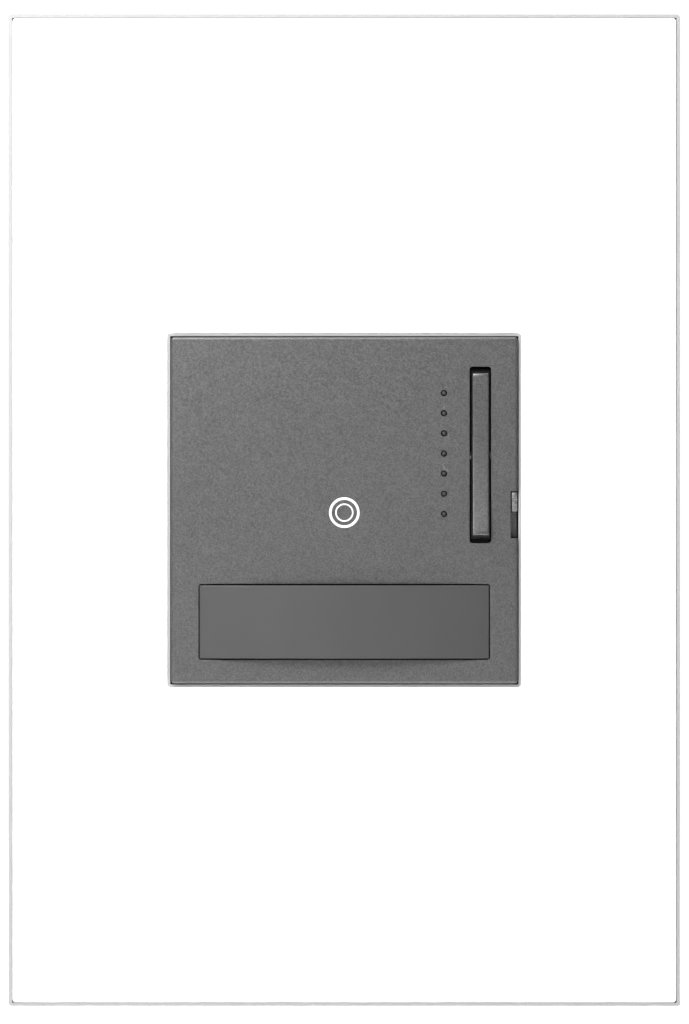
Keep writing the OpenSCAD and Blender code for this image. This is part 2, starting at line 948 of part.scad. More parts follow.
module choke_winding() {
    skin = 0.01;
    color("peru") placed() difference() {
        tube_z(
            core_out + winding_t, core_in - winding_t,
            core_end - winding_t, core_top + winding_t, core_at
        );
        tube_z(core_out + skin, core_in - skin, core_end - skin, core_top + skin, core_at);
    }
}

module filter_capacitor() {
    color("gold") placed() block(0.8, 12.8, -4, 2.5, power_back - box_capacitor_h, power_back);
}

module supply_capacitor() {
    color("midnightblue") placed() {
        rod_z(can_r, power_back - can_h, power_back - 0.4, can_at);
        rod_z(can_seal_r, power_back - 0.5, power_back, can_at);
    }
}

module surge_varistor() {
    lead_y = (disc_y0 + disc_y1) / 2;
    color("royalblue") placed() {
        rod_y(disc_r, disc_y0, disc_y1, disc_at[0], disc_at[1]);
        for (x = [disc_at[0] - disc_lead, disc_at[0] + disc_lead]) {
            rod_z(lead_r, disc_at[1] + disc_r - 2, power_back, [x, lead_y]);
        }
    }
}

module fuse_link() {
    color("silver") placed() {
        rod_x(fuse_r, fuse_x0, fuse_x1, fuse_y, fuse_z);
        for (x = [fuse_x0 + 0.6, fuse_x1 - 0.6]) {
            rod_z(lead_r, fuse_z, power_back, [x, fuse_y]);
        }
    }
}

// ---------------------------------------------------------------- rear housing

module at_terminals() {
    both_sides() for (side = [-1, 1]) {
        translate([0, side * term_y, term_z]) children();
    }
}

module rear_housing() {
    inside = body_w / 2 - body_wall;
    color("dimgray") placed() difference() {
        union() {
            difference() {
                slab(body_w, body_w, housing_back, split_z);
                slab(2 * inside, 2 * inside, housing_back + housing_floor, split_z + cut);
            }
            four_corners(corner_at) rod_z(corner_post_w / 2, housing_back + cut, split_z);
            at_terminals() block(
                term_seat - term_wall, body_w / 2 - cut,
                -term_w / 2 - term_wall, term_w / 2 + term_wall,
                -term_tall / 2 - term_wall, term_tall / 2 + term_wall
            );
            both_sides() for (y = [-board_ledge_y, board_ledge_y]) {
                block(keeper_in, inside + cut, y - 1, y + 1, term_z, power_back);
            }
        }
        at_terminals() {
            block(
                term_seat, body_w / 2 + cut, -term_w / 2, term_w / 2, -term_tall / 2, term_tall / 2
            );
            rod_x(term_screw_r + 0.3, term_seat - term_wall - cut, term_seat + cut, 0, 0);
            block(
                term_seat - 0.1, term_seat + term_plate_t + 0.1, -tail_w / 2 - 0.1, tail_w / 2 + 0.1,
                term_tall / 2 - cut, term_tall / 2 + term_wall + cut
            );
        }
        four_corners(corner_at) {
            rod_z(thread_r + 2 * slip, housing_back - cut, split_z + cut);
            rod_z(screw_well_r, housing_back - cut, housing_back + screw_well_deep);
        }
    }
}

module housing_screws() {
    head_back = housing_back + housing_head_sunk;
    seat = housing_back + screw_well_deep;
    color("silver") placed() four_corners(corner_at) difference() {
        union() {
            rod_z(thread_r, seat - cut, -1);
            rod_z(housing_head_r, head_back, seat);
        }
        translate([0, 0, head_back]) mirror([0, 0, 1]) cross_recess(0, 1.3, 0.8);
    }
}

module terminal_plates() {
    plate_half = term_w / 2 - 0.2;
    plate_tall = term_tall / 2 - 0.2;
    color("goldenrod") placed() at_terminals() difference() {
        union() {
            block(
                term_seat, term_seat + term_plate_t, -plate_half, plate_half, -plate_tall, plate_tall
            );
            block(
                term_seat, term_seat + term_plate_t, -tail_w / 2, tail_w / 2,
                plate_tall - cut, power_back - term_z
            );
        }
        rod_x(term_screw_r + play, term_seat - cut, term_seat + term_plate_t + cut, 0, 0);
    }
}

module terminal_screws() {
    head_x = term_seat + term_plate_t + 0.8;
    color("goldenrod") placed() at_terminals() difference() {
        union() {
            rod_x(term_screw_r, term_seat - 4, head_x + cut, 0, 0);
            rod_x(term_head_r, head_x, head_x + 1.9, 0, 0);
        }
        block(head_x + 1, head_x + 2, -term_head_r - cut, term_head_r + cut, -0.4, 0.4);
    }
}

// ---------------------------------------------------------------- what is drawn

wall_plate_front();
wall_plate_base();
plate_screws();
mounting_frame();
box_screws();
screw_retainers();
ground_screw();
chassis();
face_plate();
face_hinge_pin();
ring_icon_outer();
ring_icon_inner();
level_light_guide();
dimmer_rocker();
rocker_pin();
sensor_lens();
air_gap_tab();
air_gap_leaf();
air_gap_contacts();
on_off_dome();
brighter_dome();
dimmer_dome();
face_springs();
light_shield();
level_leds();
light_sensor();
motion_sensor();
motion_sensor_window();
controller_chip();
control_board();
board_header();
insulator_sheet();
power_board();
power_triac();
triac_screw();
heat_sink();
choke_core();
choke_winding();
filter_capacitor();
supply_capacitor();
surge_varistor();
fuse_link();
rear_housing();
housing_screws();
terminal_plates();
terminal_screws();
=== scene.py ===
# %% [markdown]
# # A wall dimmer, built on its CAD frame
# The dimmer is a white two-layer wall plate round a dark square face. The face is a plate that
# is tapped, and it carries a tilting level bar, seven level lights, two small rings and the
# opening for a curved sensor lens. Behind the wall sits a black body with its electronics.
# The CAD model gives every size and place. This lesson makes the pieces that are seen, each
# with the softened edges, grain and small parts of the real one.

# %% Load the frame
import math

import bmesh
import bpy
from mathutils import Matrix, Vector


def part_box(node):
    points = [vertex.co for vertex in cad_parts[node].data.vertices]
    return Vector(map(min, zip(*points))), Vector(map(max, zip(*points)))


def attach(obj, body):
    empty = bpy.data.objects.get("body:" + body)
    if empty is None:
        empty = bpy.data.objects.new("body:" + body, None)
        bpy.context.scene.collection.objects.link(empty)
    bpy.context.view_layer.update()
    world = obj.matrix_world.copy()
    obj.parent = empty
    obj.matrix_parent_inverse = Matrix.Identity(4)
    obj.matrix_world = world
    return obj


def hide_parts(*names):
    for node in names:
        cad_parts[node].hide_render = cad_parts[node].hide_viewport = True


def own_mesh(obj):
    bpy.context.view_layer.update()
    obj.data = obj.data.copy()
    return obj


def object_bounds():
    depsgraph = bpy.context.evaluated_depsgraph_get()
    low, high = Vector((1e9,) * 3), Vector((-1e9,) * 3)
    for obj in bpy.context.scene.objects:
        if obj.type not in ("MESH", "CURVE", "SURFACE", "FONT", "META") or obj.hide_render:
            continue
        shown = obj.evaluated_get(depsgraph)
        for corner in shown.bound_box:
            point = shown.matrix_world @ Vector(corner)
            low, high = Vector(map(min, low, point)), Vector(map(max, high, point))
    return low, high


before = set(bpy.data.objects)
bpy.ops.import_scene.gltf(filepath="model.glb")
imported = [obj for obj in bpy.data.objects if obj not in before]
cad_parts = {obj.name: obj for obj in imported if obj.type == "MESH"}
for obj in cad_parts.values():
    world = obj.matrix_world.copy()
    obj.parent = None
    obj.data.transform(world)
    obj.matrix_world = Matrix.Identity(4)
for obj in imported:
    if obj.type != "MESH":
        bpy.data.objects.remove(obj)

CAD_BOX = [[float(value) for value in corner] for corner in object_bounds()]
print("CAD box, metres:", CAD_BOX)

# %% [markdown]
# ## The bench
# Bevels, merges and fills have small built-in tolerances that suit pieces of a hand's size, not
# of a match head's. So each piece is modelled in millimetres, one Blender unit to a millimetre,
# and is shrunk to metres when it is done. A place is given as a person at the wall would say
# it: right, up, and out from the wall.

# %% Places and selection
MM = 0.001
PARTS = {"VERT": "verts", "EDGE": "edges", "FACE": "faces"}
OUT, IN = Vector((0, -1, 0)), Vector((0, 1, 0))
RIGHT, LEFT = Vector((1, 0, 0)), Vector((-1, 0, 0))
UP, DOWN = Vector((0, 0, 1)), Vector((0, 0, -1))


def spot(right, up, out):
    """A place in millimetres, in Blender's axes."""
    return Vector((right, -out, up))


def cad(node):
    """A CAD node's lowest and highest corners as (right, up, out) in millimetres."""
    low, high = (Vector(corner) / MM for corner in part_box(node))
    return (low.x, low.z, -high.y), (high.x, high.z, -low.y)


def only(piece):
    """Selects one object and nothing else."""
    bpy.ops.object.select_all(action="DESELECT")
    piece.select_set(True)
    bpy.context.view_layer.objects.active = piece
    return piece


def settle(piece):
    """Puts a piece's place, turn and scale into its mesh."""
    only(piece)
    bpy.ops.object.transform_apply(location=True, rotation=True, scale=True)
    return piece


def pick(piece, kind, test):
    """Opens a piece in edit mode with only the parts selected that pass the test."""
    only(piece)
    bpy.ops.object.mode_set(mode="EDIT")
    bpy.ops.mesh.select_mode(type=kind)
    bpy.ops.mesh.select_all(action="DESELECT")
    mesh = bmesh.from_edit_mesh(piece.data)
    chosen = [part for part in getattr(mesh, PARTS[kind]) if test(part)]
    for part in chosen:
        part.select_set(True)
    mesh.select_flush_mode()
    bmesh.update_edit_mesh(piece.data)
    return len(chosen)


def close():
    """Leaves edit mode."""
    bpy.ops.object.mode_set(mode="OBJECT")


def middle(edge):
    """The middle of an edge."""
    return (edge.verts[0].co + edge.verts[1].co) / 2


# %% [markdown]
# ## Blocks, cuts and soft edges
# Most moulded pieces start as a cube primitive at its place. Openings are cut with the Boolean
# modifier, because a moulding's opening is a clean cut with its own corner radius. Nothing
# moulded has a knife edge, so every edge gets a bevel: either in edit mode, where only some
# edges are meant, or with the Bevel modifier, where all sharp ones are.

# %% Blocks and cutters
def block(name, low, high):
    """A cube primitive between two corners, each (right, up, out)."""
    start, end = spot(*low), spot(*high)
    bpy.ops.object.select_all(action="DESELECT")
    bpy.ops.mesh.primitive_cube_add(size=1, location=(start + end) / 2)
    piece = bpy.context.object
    piece.name = name
    piece.scale = [abs(length) for length in end - start]
    return settle(piece)


def aim(piece, at, towards):
    """Moves a piece that was made along +Z to its place and points it."""
    piece.rotation_euler = UP.rotation_difference(towards).to_euler()
    piece.location = spot(*at)
    return settle(piece)


def rod(name, radius, length, at, towards=OUT, sides=32):
    """A cylinder primitive that starts at a place and runs one way."""
    bpy.ops.object.select_all(action="DESELECT")
    bpy.ops.mesh.primitive_cylinder_add(
        vertices=sides, radius=radius, depth=length, location=(0, 0, length / 2)
    )
    piece = bpy.context.object
    piece.name = name
    return aim(settle(piece), at, towards)


def merge(piece, others, how="UNION"):
    """Adds or cuts other pieces with the Boolean modifier, and uses them up."""
    for other in others:
        boolean = piece.modifiers.new("cut", "BOOLEAN")
        boolean.operation, boolean.solver, boolean.object = how, "EXACT", other
        only(piece)
        bpy.ops.object.modifier_apply(modifier=boolean.name)
        bpy.data.objects.remove(other)
    return piece


def gather(pieces, name):
    """Joins separate solids into one object."""
    bpy.ops.object.select_all(action="DESELECT")
    for piece in pieces:
        piece.select_set(True)
    bpy.context.view_layer.objects.active = pieces[0]
    bpy.ops.object.join()
    pieces[0].name = name
    return pieces[0]


def copies(piece, moves):
    """The piece and a copy of it at each move, every copy with its own mesh."""
    made = [piece]
    for move in moves:
        other = piece.copy()
        other.data = piece.data.copy()
        bpy.context.collection.objects.link(other)
        other.location = spot(*move)
        made.append(settle(other))
    return made


# %% Soft edges
SHARP = math.radians(30)


def soften(piece, width, segments=2, sharp=SHARP):
    """Bevels every sharp edge with the Bevel modifier."""
    bevel = piece.modifiers.new("soft", "BEVEL")
    bevel.width, bevel.segments, bevel.limit_method, bevel.angle_limit = width, segments, "ANGLE", sharp
    bevel.use_clamp_overlap = True
    only(piece)
    bpy.ops.object.modifier_apply(modifier=bevel.name)
    return piece


def bevel_where(piece, test, width, segments=2):
    """Bevels only the edges that pass a test, in edit mode."""
    found = pick(piece, "EDGE", test)
    if found:
        bpy.ops.mesh.bevel(offset=width, segments=segments, affect="EDGES", clamp_overlap=True)
    close()
    return piece


def is_sharp(edge):
    """Whether an edge has two faces that turn a corner there."""
    return len(edge.link_faces) == 2 and edge.calc_face_angle(0) > SHARP


# %% [markdown]
# ## Turned and coiled shapes
# Screws, pins, cans and rings are lathe work: an outline of (radius, height) points is spun
# round its axis. Springs and screw threads are the same outline carried up a helix, which is
# what the Screw modifier does.

# %% The lathe
def outline_loop(name, outline):
    """A circle primitive whose points are moved onto an outline."""
    bpy.ops.object.select_all(action="DESELECT")
    bpy.ops.mesh.primitive_circle_add(vertices=len(outline), radius=1, fill_type="NOTHING")
    piece = bpy.context.object
    piece.name = name
    for vert, (radius, height) in zip(piece.data.vertices, outline):
        vert.co = (radius, 0, height)
    return piece


def turned(name, outline, at, towards=OUT, steps=40):
    """Spins a closed outline into a solid, and points its axis."""
    piece = outline_loop(name, outline)
    pick(piece, "VERT", lambda vert: True)
    bpy.ops.mesh.spin(steps=steps, angle=2 * math.pi, center=(0, 0, 0), axis=(0, 0, 1))
    bpy.ops.mesh.select_all(action="SELECT")
    bpy.ops.mesh.remove_doubles(threshold=0.0005)
    bpy.ops.mesh.delete_loose()
    bpy.ops.mesh.select_all(action="SELECT")
    bpy.ops.mesh.normals_make_consistent(inside=False)
    close()
    return aim(piece, at, towards)


def coiled(name, outline, pitch, turns, at, towards=OUT, steps=24):
    """Carries a closed outline up a helix, with closed ends."""
    piece = outline_loop(name, outline)
    screw = piece.modifiers.new("helix", "SCREW")
    screw.axis, screw.angle, screw.screw_offset, screw.iterations = "Z", 2 * math.pi, pitch, turns
    screw.steps = screw.render_steps = steps
    only(piece)
    bpy.ops.object.modifier_apply(modifier=screw.name)
    pick(piece, "VERT", lambda vert: True)
    bpy.ops.mesh.remove_doubles(threshold=0.0005)
    bpy.ops.mesh.fill_holes(sides=len(outline))
    bpy.ops.mesh.normals_make_consistent(inside=False)
    close()
    return aim(piece, at, towards)


def wire_outline(radius, wire_r, sides=8):
    """The round section of a wire whose middle is at a radius."""
    angles = [2 * math.pi * side / sides for side in range(sides)]
    return [(radius + wire_r * math.cos(angle), wire_r * math.sin(angle)) for angle in angles]


# %% [markdown]
# ## Sums in shader nodes
# A finish is a small network of shader nodes. Wire holds one output socket, and its operators
# add Math nodes, so that a roughness can be written as a sum. Finish owns one material, and
# its add() makes every other node: settings first, then the values or wires of its sockets.

# %% Wire and Finish
class Wire:
    """One output of a shader node, which can be used like a number."""

    def __init__(self, finish, socket):
        self.finish, self.socket = finish, socket

    def maths(self, operation, first, second):
        return self.finish.add("ShaderNodeMath", {"operation": operation}, {0: first, 1: second})

    def __add__(self, other):
        return self.maths("ADD", self, other)

    def __sub__(self, other):
        return self.maths("SUBTRACT", self, other)

    def __mul__(self, other):
        return self.maths("MULTIPLY", self, other)

    __radd__ = __add__
    __rmul__ = __mul__


class Finish:
    """One material, with its Principled shader."""

    def __init__(self, name, **sockets):
        self.material = bpy.data.materials.new(name)
        self.material.use_nodes = True
        self.nodes, self.links = self.material.node_tree.nodes, self.material.node_tree.links
        self.shader = self.nodes["Principled BSDF"]
        self.place = self.add("ShaderNodeTexCoord", out="Object")
        self.set(**sockets)

    def put(self, socket, value):
        if isinstance(value, Wire):
            self.links.new(value.socket, socket)
        else:
            socket.default_value = value

    def add(self, kind, settings=None, sockets=None, out=0):
        """Any node: its settings, then its sockets by name or number."""
        node = self.nodes.new(kind)
        for key, value in (settings or {}).items():
            if key == "stops":
                ramp = node.color_ramp.elements
                while len(ramp) < len(value):
                    ramp.new(0.5)
                for element, (position, colour) in zip(ramp, value):
                    element.position, element.color = position, colour
            else:
                setattr(node, key, value)
        for key, value in (sockets or {}).items():
            self.put(node.inputs[key], value)
        return Wire(self, node.outputs[out])

    def set(self, **sockets):
        """Sets the shader's own sockets: base_color stands for Base Color."""
        named = {socket.name.lower().replace(" ", "_"): socket for socket in self.shader.inputs}
        for key, value in sockets.items():
            self.put(named[key], value)

    def noise(self, size, detail=2.0, place=None, roughness=0.5):
        """Noise whose features are about a size in millimetres."""
        return self.add("ShaderNodeTexNoise", None, {
            "Vector": place or self.place, "Scale": 1 / (size * MM),
            "Detail": detail, "Roughness": roughness,
        }, out="Fac")

    def stretched(self, x, y, z):
        """Object coordinates scaled on each axis."""
        return self.add("ShaderNodeMapping", None, {"Vector": self.place, "Scale": (x, y, z)})

    def blend(self, factor, first, second):
        """A colour between two colours."""
        return self.add("ShaderNodeMix", {"data_type": "RGBA"}, {0: factor, 6: first, 7: second}, out=2)

    def bump(self, height, depth, strength=1.0):
        """A bumped normal, from a height of 0 to 1 and a depth in millimetres."""
        return self.add("ShaderNodeBump", None, {
            "Height": height, "Distance": depth * MM, "Strength": strength,
        })


def grey(value, tint=0.0):
    """A grey colour, a little blue where tint is above 0."""
    return (value * (1 - tint), value, value * (1 + tint), 1)


# %% [markdown]
# ## Moulded plastics
# A moulding isn't one flat colour. Its tool was spark-eroded, which leaves a fine even grain,
# the resin flows leave a faint cloudiness, and hands leave it a little shinier here and there.
# One function takes the colour, the shine and the grain, and every plastic is made with it.

# %% Plastics
def moulded(name, colour, roughness, grain=0.12, depth=0.006, cloud=0.04, **more):
    """A spark-grained moulding: fine grain, faint clouds in its colour, uneven shine."""
    finish = Finish(name, **more)
    clouds = finish.noise(9, 3)
    fine = finish.noise(grain, 2)
    darker = [channel * (1 - cloud) for channel in colour[:3]] + [1]
    lighter = [min(1, channel * (1 + cloud)) for channel in colour[:3]] + [1]
    finish.set(
        base_color=finish.blend(clouds, darker, lighter),
        roughness=roughness + (clouds - 0.5) * 0.12 + (fine - 0.5) * 0.06,
        normal=finish.bump(fine, depth),
    )
    return finish.material


COVER_WHITE = moulded("cover_white", grey(0.90), 0.38, 0.10, 0.003, 0.01, ior=1.48)
BASE_GREY = moulded("base_grey", grey(0.25, 0.006), 0.60, 0.14, 0.006, 0.02)
CHASSIS_BLACK = moulded("chassis_black", grey(0.030, 0.03), 0.50, 0.16, 0.010, 0.12)
HOUSING_BLACK = moulded("housing_black", grey(0.036, 0.03), 0.52, 0.20, 0.014, 0.12)
PART_BLACK = moulded("component_black", grey(0.018, 0.02), 0.45, 0.10, 0.006, 0.15)
INLAY_WHITE = moulded("icon_white", grey(0.54), 0.40, 0.08, 0.002, 0.005)
TIP_CLEAR = moulded("light_guide_clear", grey(0.022, 0.02), 0.55, 0.08, 0.002, 0.03, specular_ior_level=0.3)
RUBBER_PALE = moulded("dome_rubber", (0.66, 0.65, 0.60, 1), 0.68, 0.15, 0.006, 0.04)
BOX_YELLOW = moulded("capacitor_yellow", (0.62, 0.42, 0.035, 1), 0.34, 0.16, 0.004, 0.05)
SLEEVE_NAVY = moulded("capacitor_sleeve", (0.012, 0.022, 0.085, 1), 0.26, 0.30, 0.008, 0.10)
DIPPED_BLUE = moulded("varistor_blue", (0.015, 0.085, 0.30, 1), 0.30, 0.9, 0.06, 0.08)
LED_CREAM = moulded("led_cream", (0.74, 0.68, 0.36, 1), 0.30, 0.10, 0.003, 0.04)
WINDOW_DARK = moulded("sensor_window", (0.012, 0.010, 0.016, 1), 0.10, 0.20, 0.002, 0.05, coat_weight=0.5)
print("plastics made")


# %% [markdown]
# ## The graphite paint
# The face, the bar and the tab are sprayed with a satin graphite paint that carries fine metal
# flake. The flake is what makes it catch light in a broad soft patch, and close up it shows
# as a fine sparkle. The paint is a part-metal shader: a Voronoi pattern gives each flake its own
# brightness, and fine noise gives the orange-peel skin of sprayed paint.

# %% Graphite
def graphite(name, level, roughness):
    """Satin metallic paint with fine flake."""
    finish = Finish(name, metallic=0.9, specular_ior_level=0.4)
    flake = finish.add("ShaderNodeTexVoronoi", None, {
        "Vector": finish.place, "Scale": 1 / (0.13 * MM),
    }, out="Color")
    sparkle = finish.add("ShaderNodeSeparateColor", None, {"Color": flake})
    peel = finish.noise(0.35, 3)
    clouds = finish.noise(14, 2)
    finish.set(
        base_color=finish.blend(
            sparkle * 0.8 + clouds * 0.2, grey(level * 0.76), grey(level * 1.24)
        ),
        roughness=roughness + (peel - 0.5) * 0.10 + (sparkle - 0.5) * 0.08,
        normal=finish.bump(peel, 0.006),
    )
    return finish.material


FACE_GRAPHITE = graphite("face_graphite", 0.102, 0.38)
BAR_GRAPHITE = graphite("bar_graphite", 0.112, 0.34)
# The tab's copy of the paint is set about half again as light as the face's: painted light, so that the
# tab's front reads as lit from above.
TAB_GRAPHITE_PAINTED_LIT = graphite("tab_graphite", 0.155, 0.42)


# %% [markdown]
# ## The smoked lens
# The lens is thin smoked plastic that lets heat through. Its outside is smooth with a satin
# skin, and its inside is cut into upright facets that focus each strip of the room onto the
# sensor. They are real steps on the inner side of the piece, and show outside as very faint
# upright bands, which the material repeats as small changes of tone.

# %% Smoked plastic
def smoked(name, level):
    """Dark satin plastic with faint upright bands."""
    finish = Finish(name, specular_ior_level=0.3)
    bands = finish.add("ShaderNodeTexWave", {"bands_direction": "X"}, {
        "Vector": finish.place, "Scale": 1 / (3.2 * MM) / 6.2832, "Distortion": 0.0,
    }, out="Fac")
    clouds = finish.noise(6, 2)
    skin = finish.noise(0.12, 2)
    finish.set(
        base_color=finish.blend(
            bands * 0.2 + clouds * 0.8, grey(level * 0.96), grey(level * 1.04)
        ),
        roughness=0.50 + (clouds - 0.5) * 0.08,
        normal=finish.bump(skin, 0.003),
    )
    return finish.material


LENS_SMOKE = smoked("lens_smoke", 0.036)


# %% [markdown]
# ## Metals
# Rolled and plated metals are brushed one way, so their noise is drawn out along that way. The
# drawn-out noise feeds the roughness and a very shallow bump, and slow clouds dull the surface
# as handling and oxide do.

# %% Metals
def metal(name, colour, roughness, along=(1, 1, 0.04), line=0.10, dull=0.15):
    """A metal with fine lines drawn out along the axis whose scale is small."""
    finish = Finish(name, metallic=1.0)
    lines = finish.noise(line, 2, finish.stretched(*along))
    clouds = finish.noise(5, 3)
    aged = [channel * (1 - dull) for channel in colour[:3]] + [1]
    finish.set(
        base_color=finish.blend(clouds, aged, list(colour[:3]) + [1]),
        roughness=roughness + (lines - 0.5) * 0.18 + (clouds - 0.5) * 0.12,
        normal=finish.bump(lines, 0.004),
    )
    return finish.material


ZINC = metal("zinc_steel", (0.66, 0.67, 0.66, 1), 0.32)
GREEN_ZINC = metal("green_screw", (0.03, 0.26, 0.08, 1), 0.36)
SPRING_WIRE = metal("spring_steel", (0.50, 0.51, 0.54, 1), 0.24, (1, 1, 1), 0.2)
BRASS = metal("contact_brass", (0.80, 0.58, 0.24, 1), 0.26, (1, 0.05, 1), 0.12)
NICKEL = metal("sensor_can", (0.70, 0.68, 0.62, 1), 0.22, (1, 0.2, 1), 0.2)
TINNED = metal("fuse_metal", (0.74, 0.73, 0.70, 1), 0.30, (0.1, 1, 1), 0.15)
ALUMINIUM = metal("heat_sink_aluminium", (0.76, 0.77, 0.78, 1), 0.34, (0.03, 1, 1), 0.12)
COPPER = metal("winding_copper", (0.62, 0.23, 0.07, 1), 0.22, (1, 1, 1), 0.3, 0.3)
print("metals made")


# %% [markdown]
# ## Board, paper and core
# A circuit board is woven glass under green lacquer: the weave shows as a faint square pattern,
# and copper tracks under the lacquer make paler lines. The insulating paper is fibrous, and
# the ferrite core is dark and gritty.

# %% Board, paper and core
def lacquered_board(name):
    """Green lacquer over a glass weave, with faint long tracks."""
    finish = Finish(name, coat_weight=0.35, coat_roughness=0.12)
    steps = finish.add("ShaderNodeTexBrick", {"offset": 0.27, "squash": 1.0}, {
        "Vector": finish.add("ShaderNodeMapping", None, {
            "Vector": finish.place, "Rotation": (math.pi / 2, 0, 0),
        }),
        "Scale": 1 / (3.0 * MM), "Mortar Size": 0.055, "Mortar Smooth": 0.2,
        "Brick Width": 9.0, "Row Height": 0.40,
    }, out="Fac")
    weave = finish.add("ShaderNodeTexChecker", None, {
        "Vector": finish.place, "Scale": 1 / (0.35 * MM),
    }, out="Fac")
    clouds = finish.noise(7, 2)
    green = finish.blend(clouds * 0.6 + weave * 0.2, (0.012, 0.105, 0.040, 1), (0.018, 0.150, 0.060, 1))
    finish.set(
        base_color=finish.blend(steps * 0.4, green, (0.030, 0.200, 0.080, 1)),
        roughness=0.34 + (clouds - 0.5) * 0.1,
        normal=finish.bump(steps * 0.8 + weave * 0.2, 0.02),
    )
    return finish.material


def fibrous(name, dark, light, size, depth, roughness):
    """Pressed fibres or grit: noise at two sizes."""
    finish = Finish(name)
    coarse, fine = finish.noise(size, 4), finish.noise(size / 6, 2)
    finish.set(
        base_color=finish.blend(coarse * 0.6 + fine * 0.4, dark, light),
        roughness=roughness + (fine - 0.5) * 0.15,
        normal=finish.bump(coarse * 0.5 + fine * 0.5, depth),
    )
    return finish.material


BOARD_GREEN = lacquered_board("board_green")
PAPER = fibrous("insulator_paper", (0.60, 0.56, 0.44, 1), (0.74, 0.71, 0.60, 1), 1.2, 0.02, 0.78)
FIBRE = fibrous("retainer_fibre", (0.14, 0.065, 0.030, 1), (0.26, 0.130, 0.065, 1), 0.8, 0.04, 0.80)
FERRITE = fibrous("core_ferrite", (0.018, 0.020, 0.023, 1), (0.050, 0.054, 0.060, 1), 0.3, 0.02, 0.62)


# %% [markdown]
# ## Handing a piece over
# When a piece is done it is shrunk to metres, its smooth faces are shaded smooth up to its
# sharp edges, and it takes its finish. A flat face beside a small bevel would borrow some of
# the bevel's slope, so the Weighted Normal modifier gives the larger face the say. Then the
# piece is hung from the empty of the body that carries it, and the CAD node it stands for is
# hidden.

# %% Handing over
MADE = []


def shrink(piece, name, material, smooth=SHARP):
    """Shrinks a finished piece to metres and gives it its finish."""
    piece.name = name
    piece.scale = (MM, MM, MM)
    settle(piece)
    bpy.ops.object.shade_smooth_by_angle(angle=smooth)
    even = piece.modifiers.new("even", "WEIGHTED_NORMAL")
    even.keep_sharp = True
    bpy.ops.object.modifier_apply(modifier=even.name)
    piece.data.materials.append(material)
    MADE.append(name)
    return piece


def hand_over(piece, name, body, node, material, smooth=SHARP):
    """A finished piece that stands for one CAD node."""
    shrink(piece, name, material, smooth)
    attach(piece, body)
    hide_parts(node)
    return piece


# %% [markdown]
# ## The wall plate's white cover
# The cover is a thin plate with a square opening that snaps onto the base. It starts as a
# block. The opening is a Boolean cut, and its front edges and rim are rounded in edit mode, so
# that light runs along them. Six clips stand on its back.

# %% The white cover
COVER_T = 1.6
COVER_BACK = cad("wall_plate_front")[1][2] - COVER_T
cover_low, cover_high = cad("wall_plate_front")
OPENING = 23.2
COLLAR = 24.2
CLIP_X, CLIP_T, CLIP_W = 38.0, 1.2, 6.0


def mirrored(piece):
    """A copy of a piece on the other side, turned right side out again."""
    other = piece.copy()
    other.data = piece.data.copy()
    bpy.context.collection.objects.link(other)
    other.scale = (-1, 1, 1)
    settle(other)
    pick(other, "FACE", lambda face: True)
    bpy.ops.mesh.normals_make_consistent(inside=False)
    close()
    return other


def cover_clips():
    """Six clips with hooked ends, modelled once and copied."""
    half, outer = CLIP_W / 2, CLIP_X + CLIP_T / 2
    clip = block("clip", (CLIP_X - CLIP_T / 2, -half, cover_low[2]), (outer, half, COVER_BACK + 0.2))
    nib_low, nib_high = cover_low[2] + 0.2, cover_low[2] + 1.4
    nib = block("nib", (outer - 0.1, -half, nib_low), (outer + 0.6, half, nib_high))
    bevel_where(nib, lambda edge: middle(edge).x > outer + 0.5 and middle(edge).y > -nib_low - 0.2, 0.5, 1)
    merge(clip, [soften(nib, 0.08)])
    right = copies(clip, [(0, 45, 0), (0, -45, 0)])
    return right + [mirrored(piece) for piece in right]


cover = block("cover", (cover_low[0], cover_low[1], COVER_BACK), cover_high)
merge(cover, [
    block("hole", (-OPENING, -OPENING, 0), (OPENING, OPENING, 12)),
    block("seat", (-COLLAR, -COLLAR, COVER_BACK - 1), (COLLAR, COLLAR, COVER_BACK + 0.8)),
], "DIFFERENCE")
bevel_where(
    cover, lambda edge: is_sharp(edge) and abs(edge.verts[0].co.y - edge.verts[1].co.y) > 0.3, 0.4, 3
)
front_y = -cover_high[2]
bevel_where(cover, lambda edge: is_sharp(edge) and abs(middle(edge).y - front_y) < 0.01, 0.22, 3)
bevel_where(cover, lambda edge: is_sharp(edge) and edge.calc_face_angle(0) > 1.2, 0.06, 1)
cover = gather([cover] + cover_clips(), "cover")
hand_over(cover, "plate_cover", "root", "wall_plate_front", COVER_WHITE)
print("cover:", len(cover.data.polygons), "faces")

# %% [markdown]
# ## Shells taken from the CAD mesh
# The base, the chassis, the mounting frame and the rear housing have their exact shape in the
# CAD model already, with every pocket and boss. What they lack is soft edges. A copy of the
# CAD mesh is merged, its flat triangles are dissolved into whole faces, and the Bevel modifier
# rounds what is sharp.

# %% Softened copies
def softened_copy(node, width, segments=2):
    """A copy of a CAD node in millimetres, merged, cleaned and bevelled."""
    piece = bpy.data.objects.new(node + "_copy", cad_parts[node].data.copy())
    bpy.context.collection.objects.link(piece)
    piece.data.materials.clear()
    piece.scale = (1 / MM, 1 / MM, 1 / MM)
    settle(piece)
    pick(piece, "FACE", lambda face: True)
    bpy.ops.mesh.customdata_custom_splitnormals_clear()
    bpy.ops.mesh.remove_doubles(threshold=0.002)
    bpy.ops.mesh.dissolve_limited(angle_limit=math.radians(1))
    close()
    return soften(piece, width, segments)


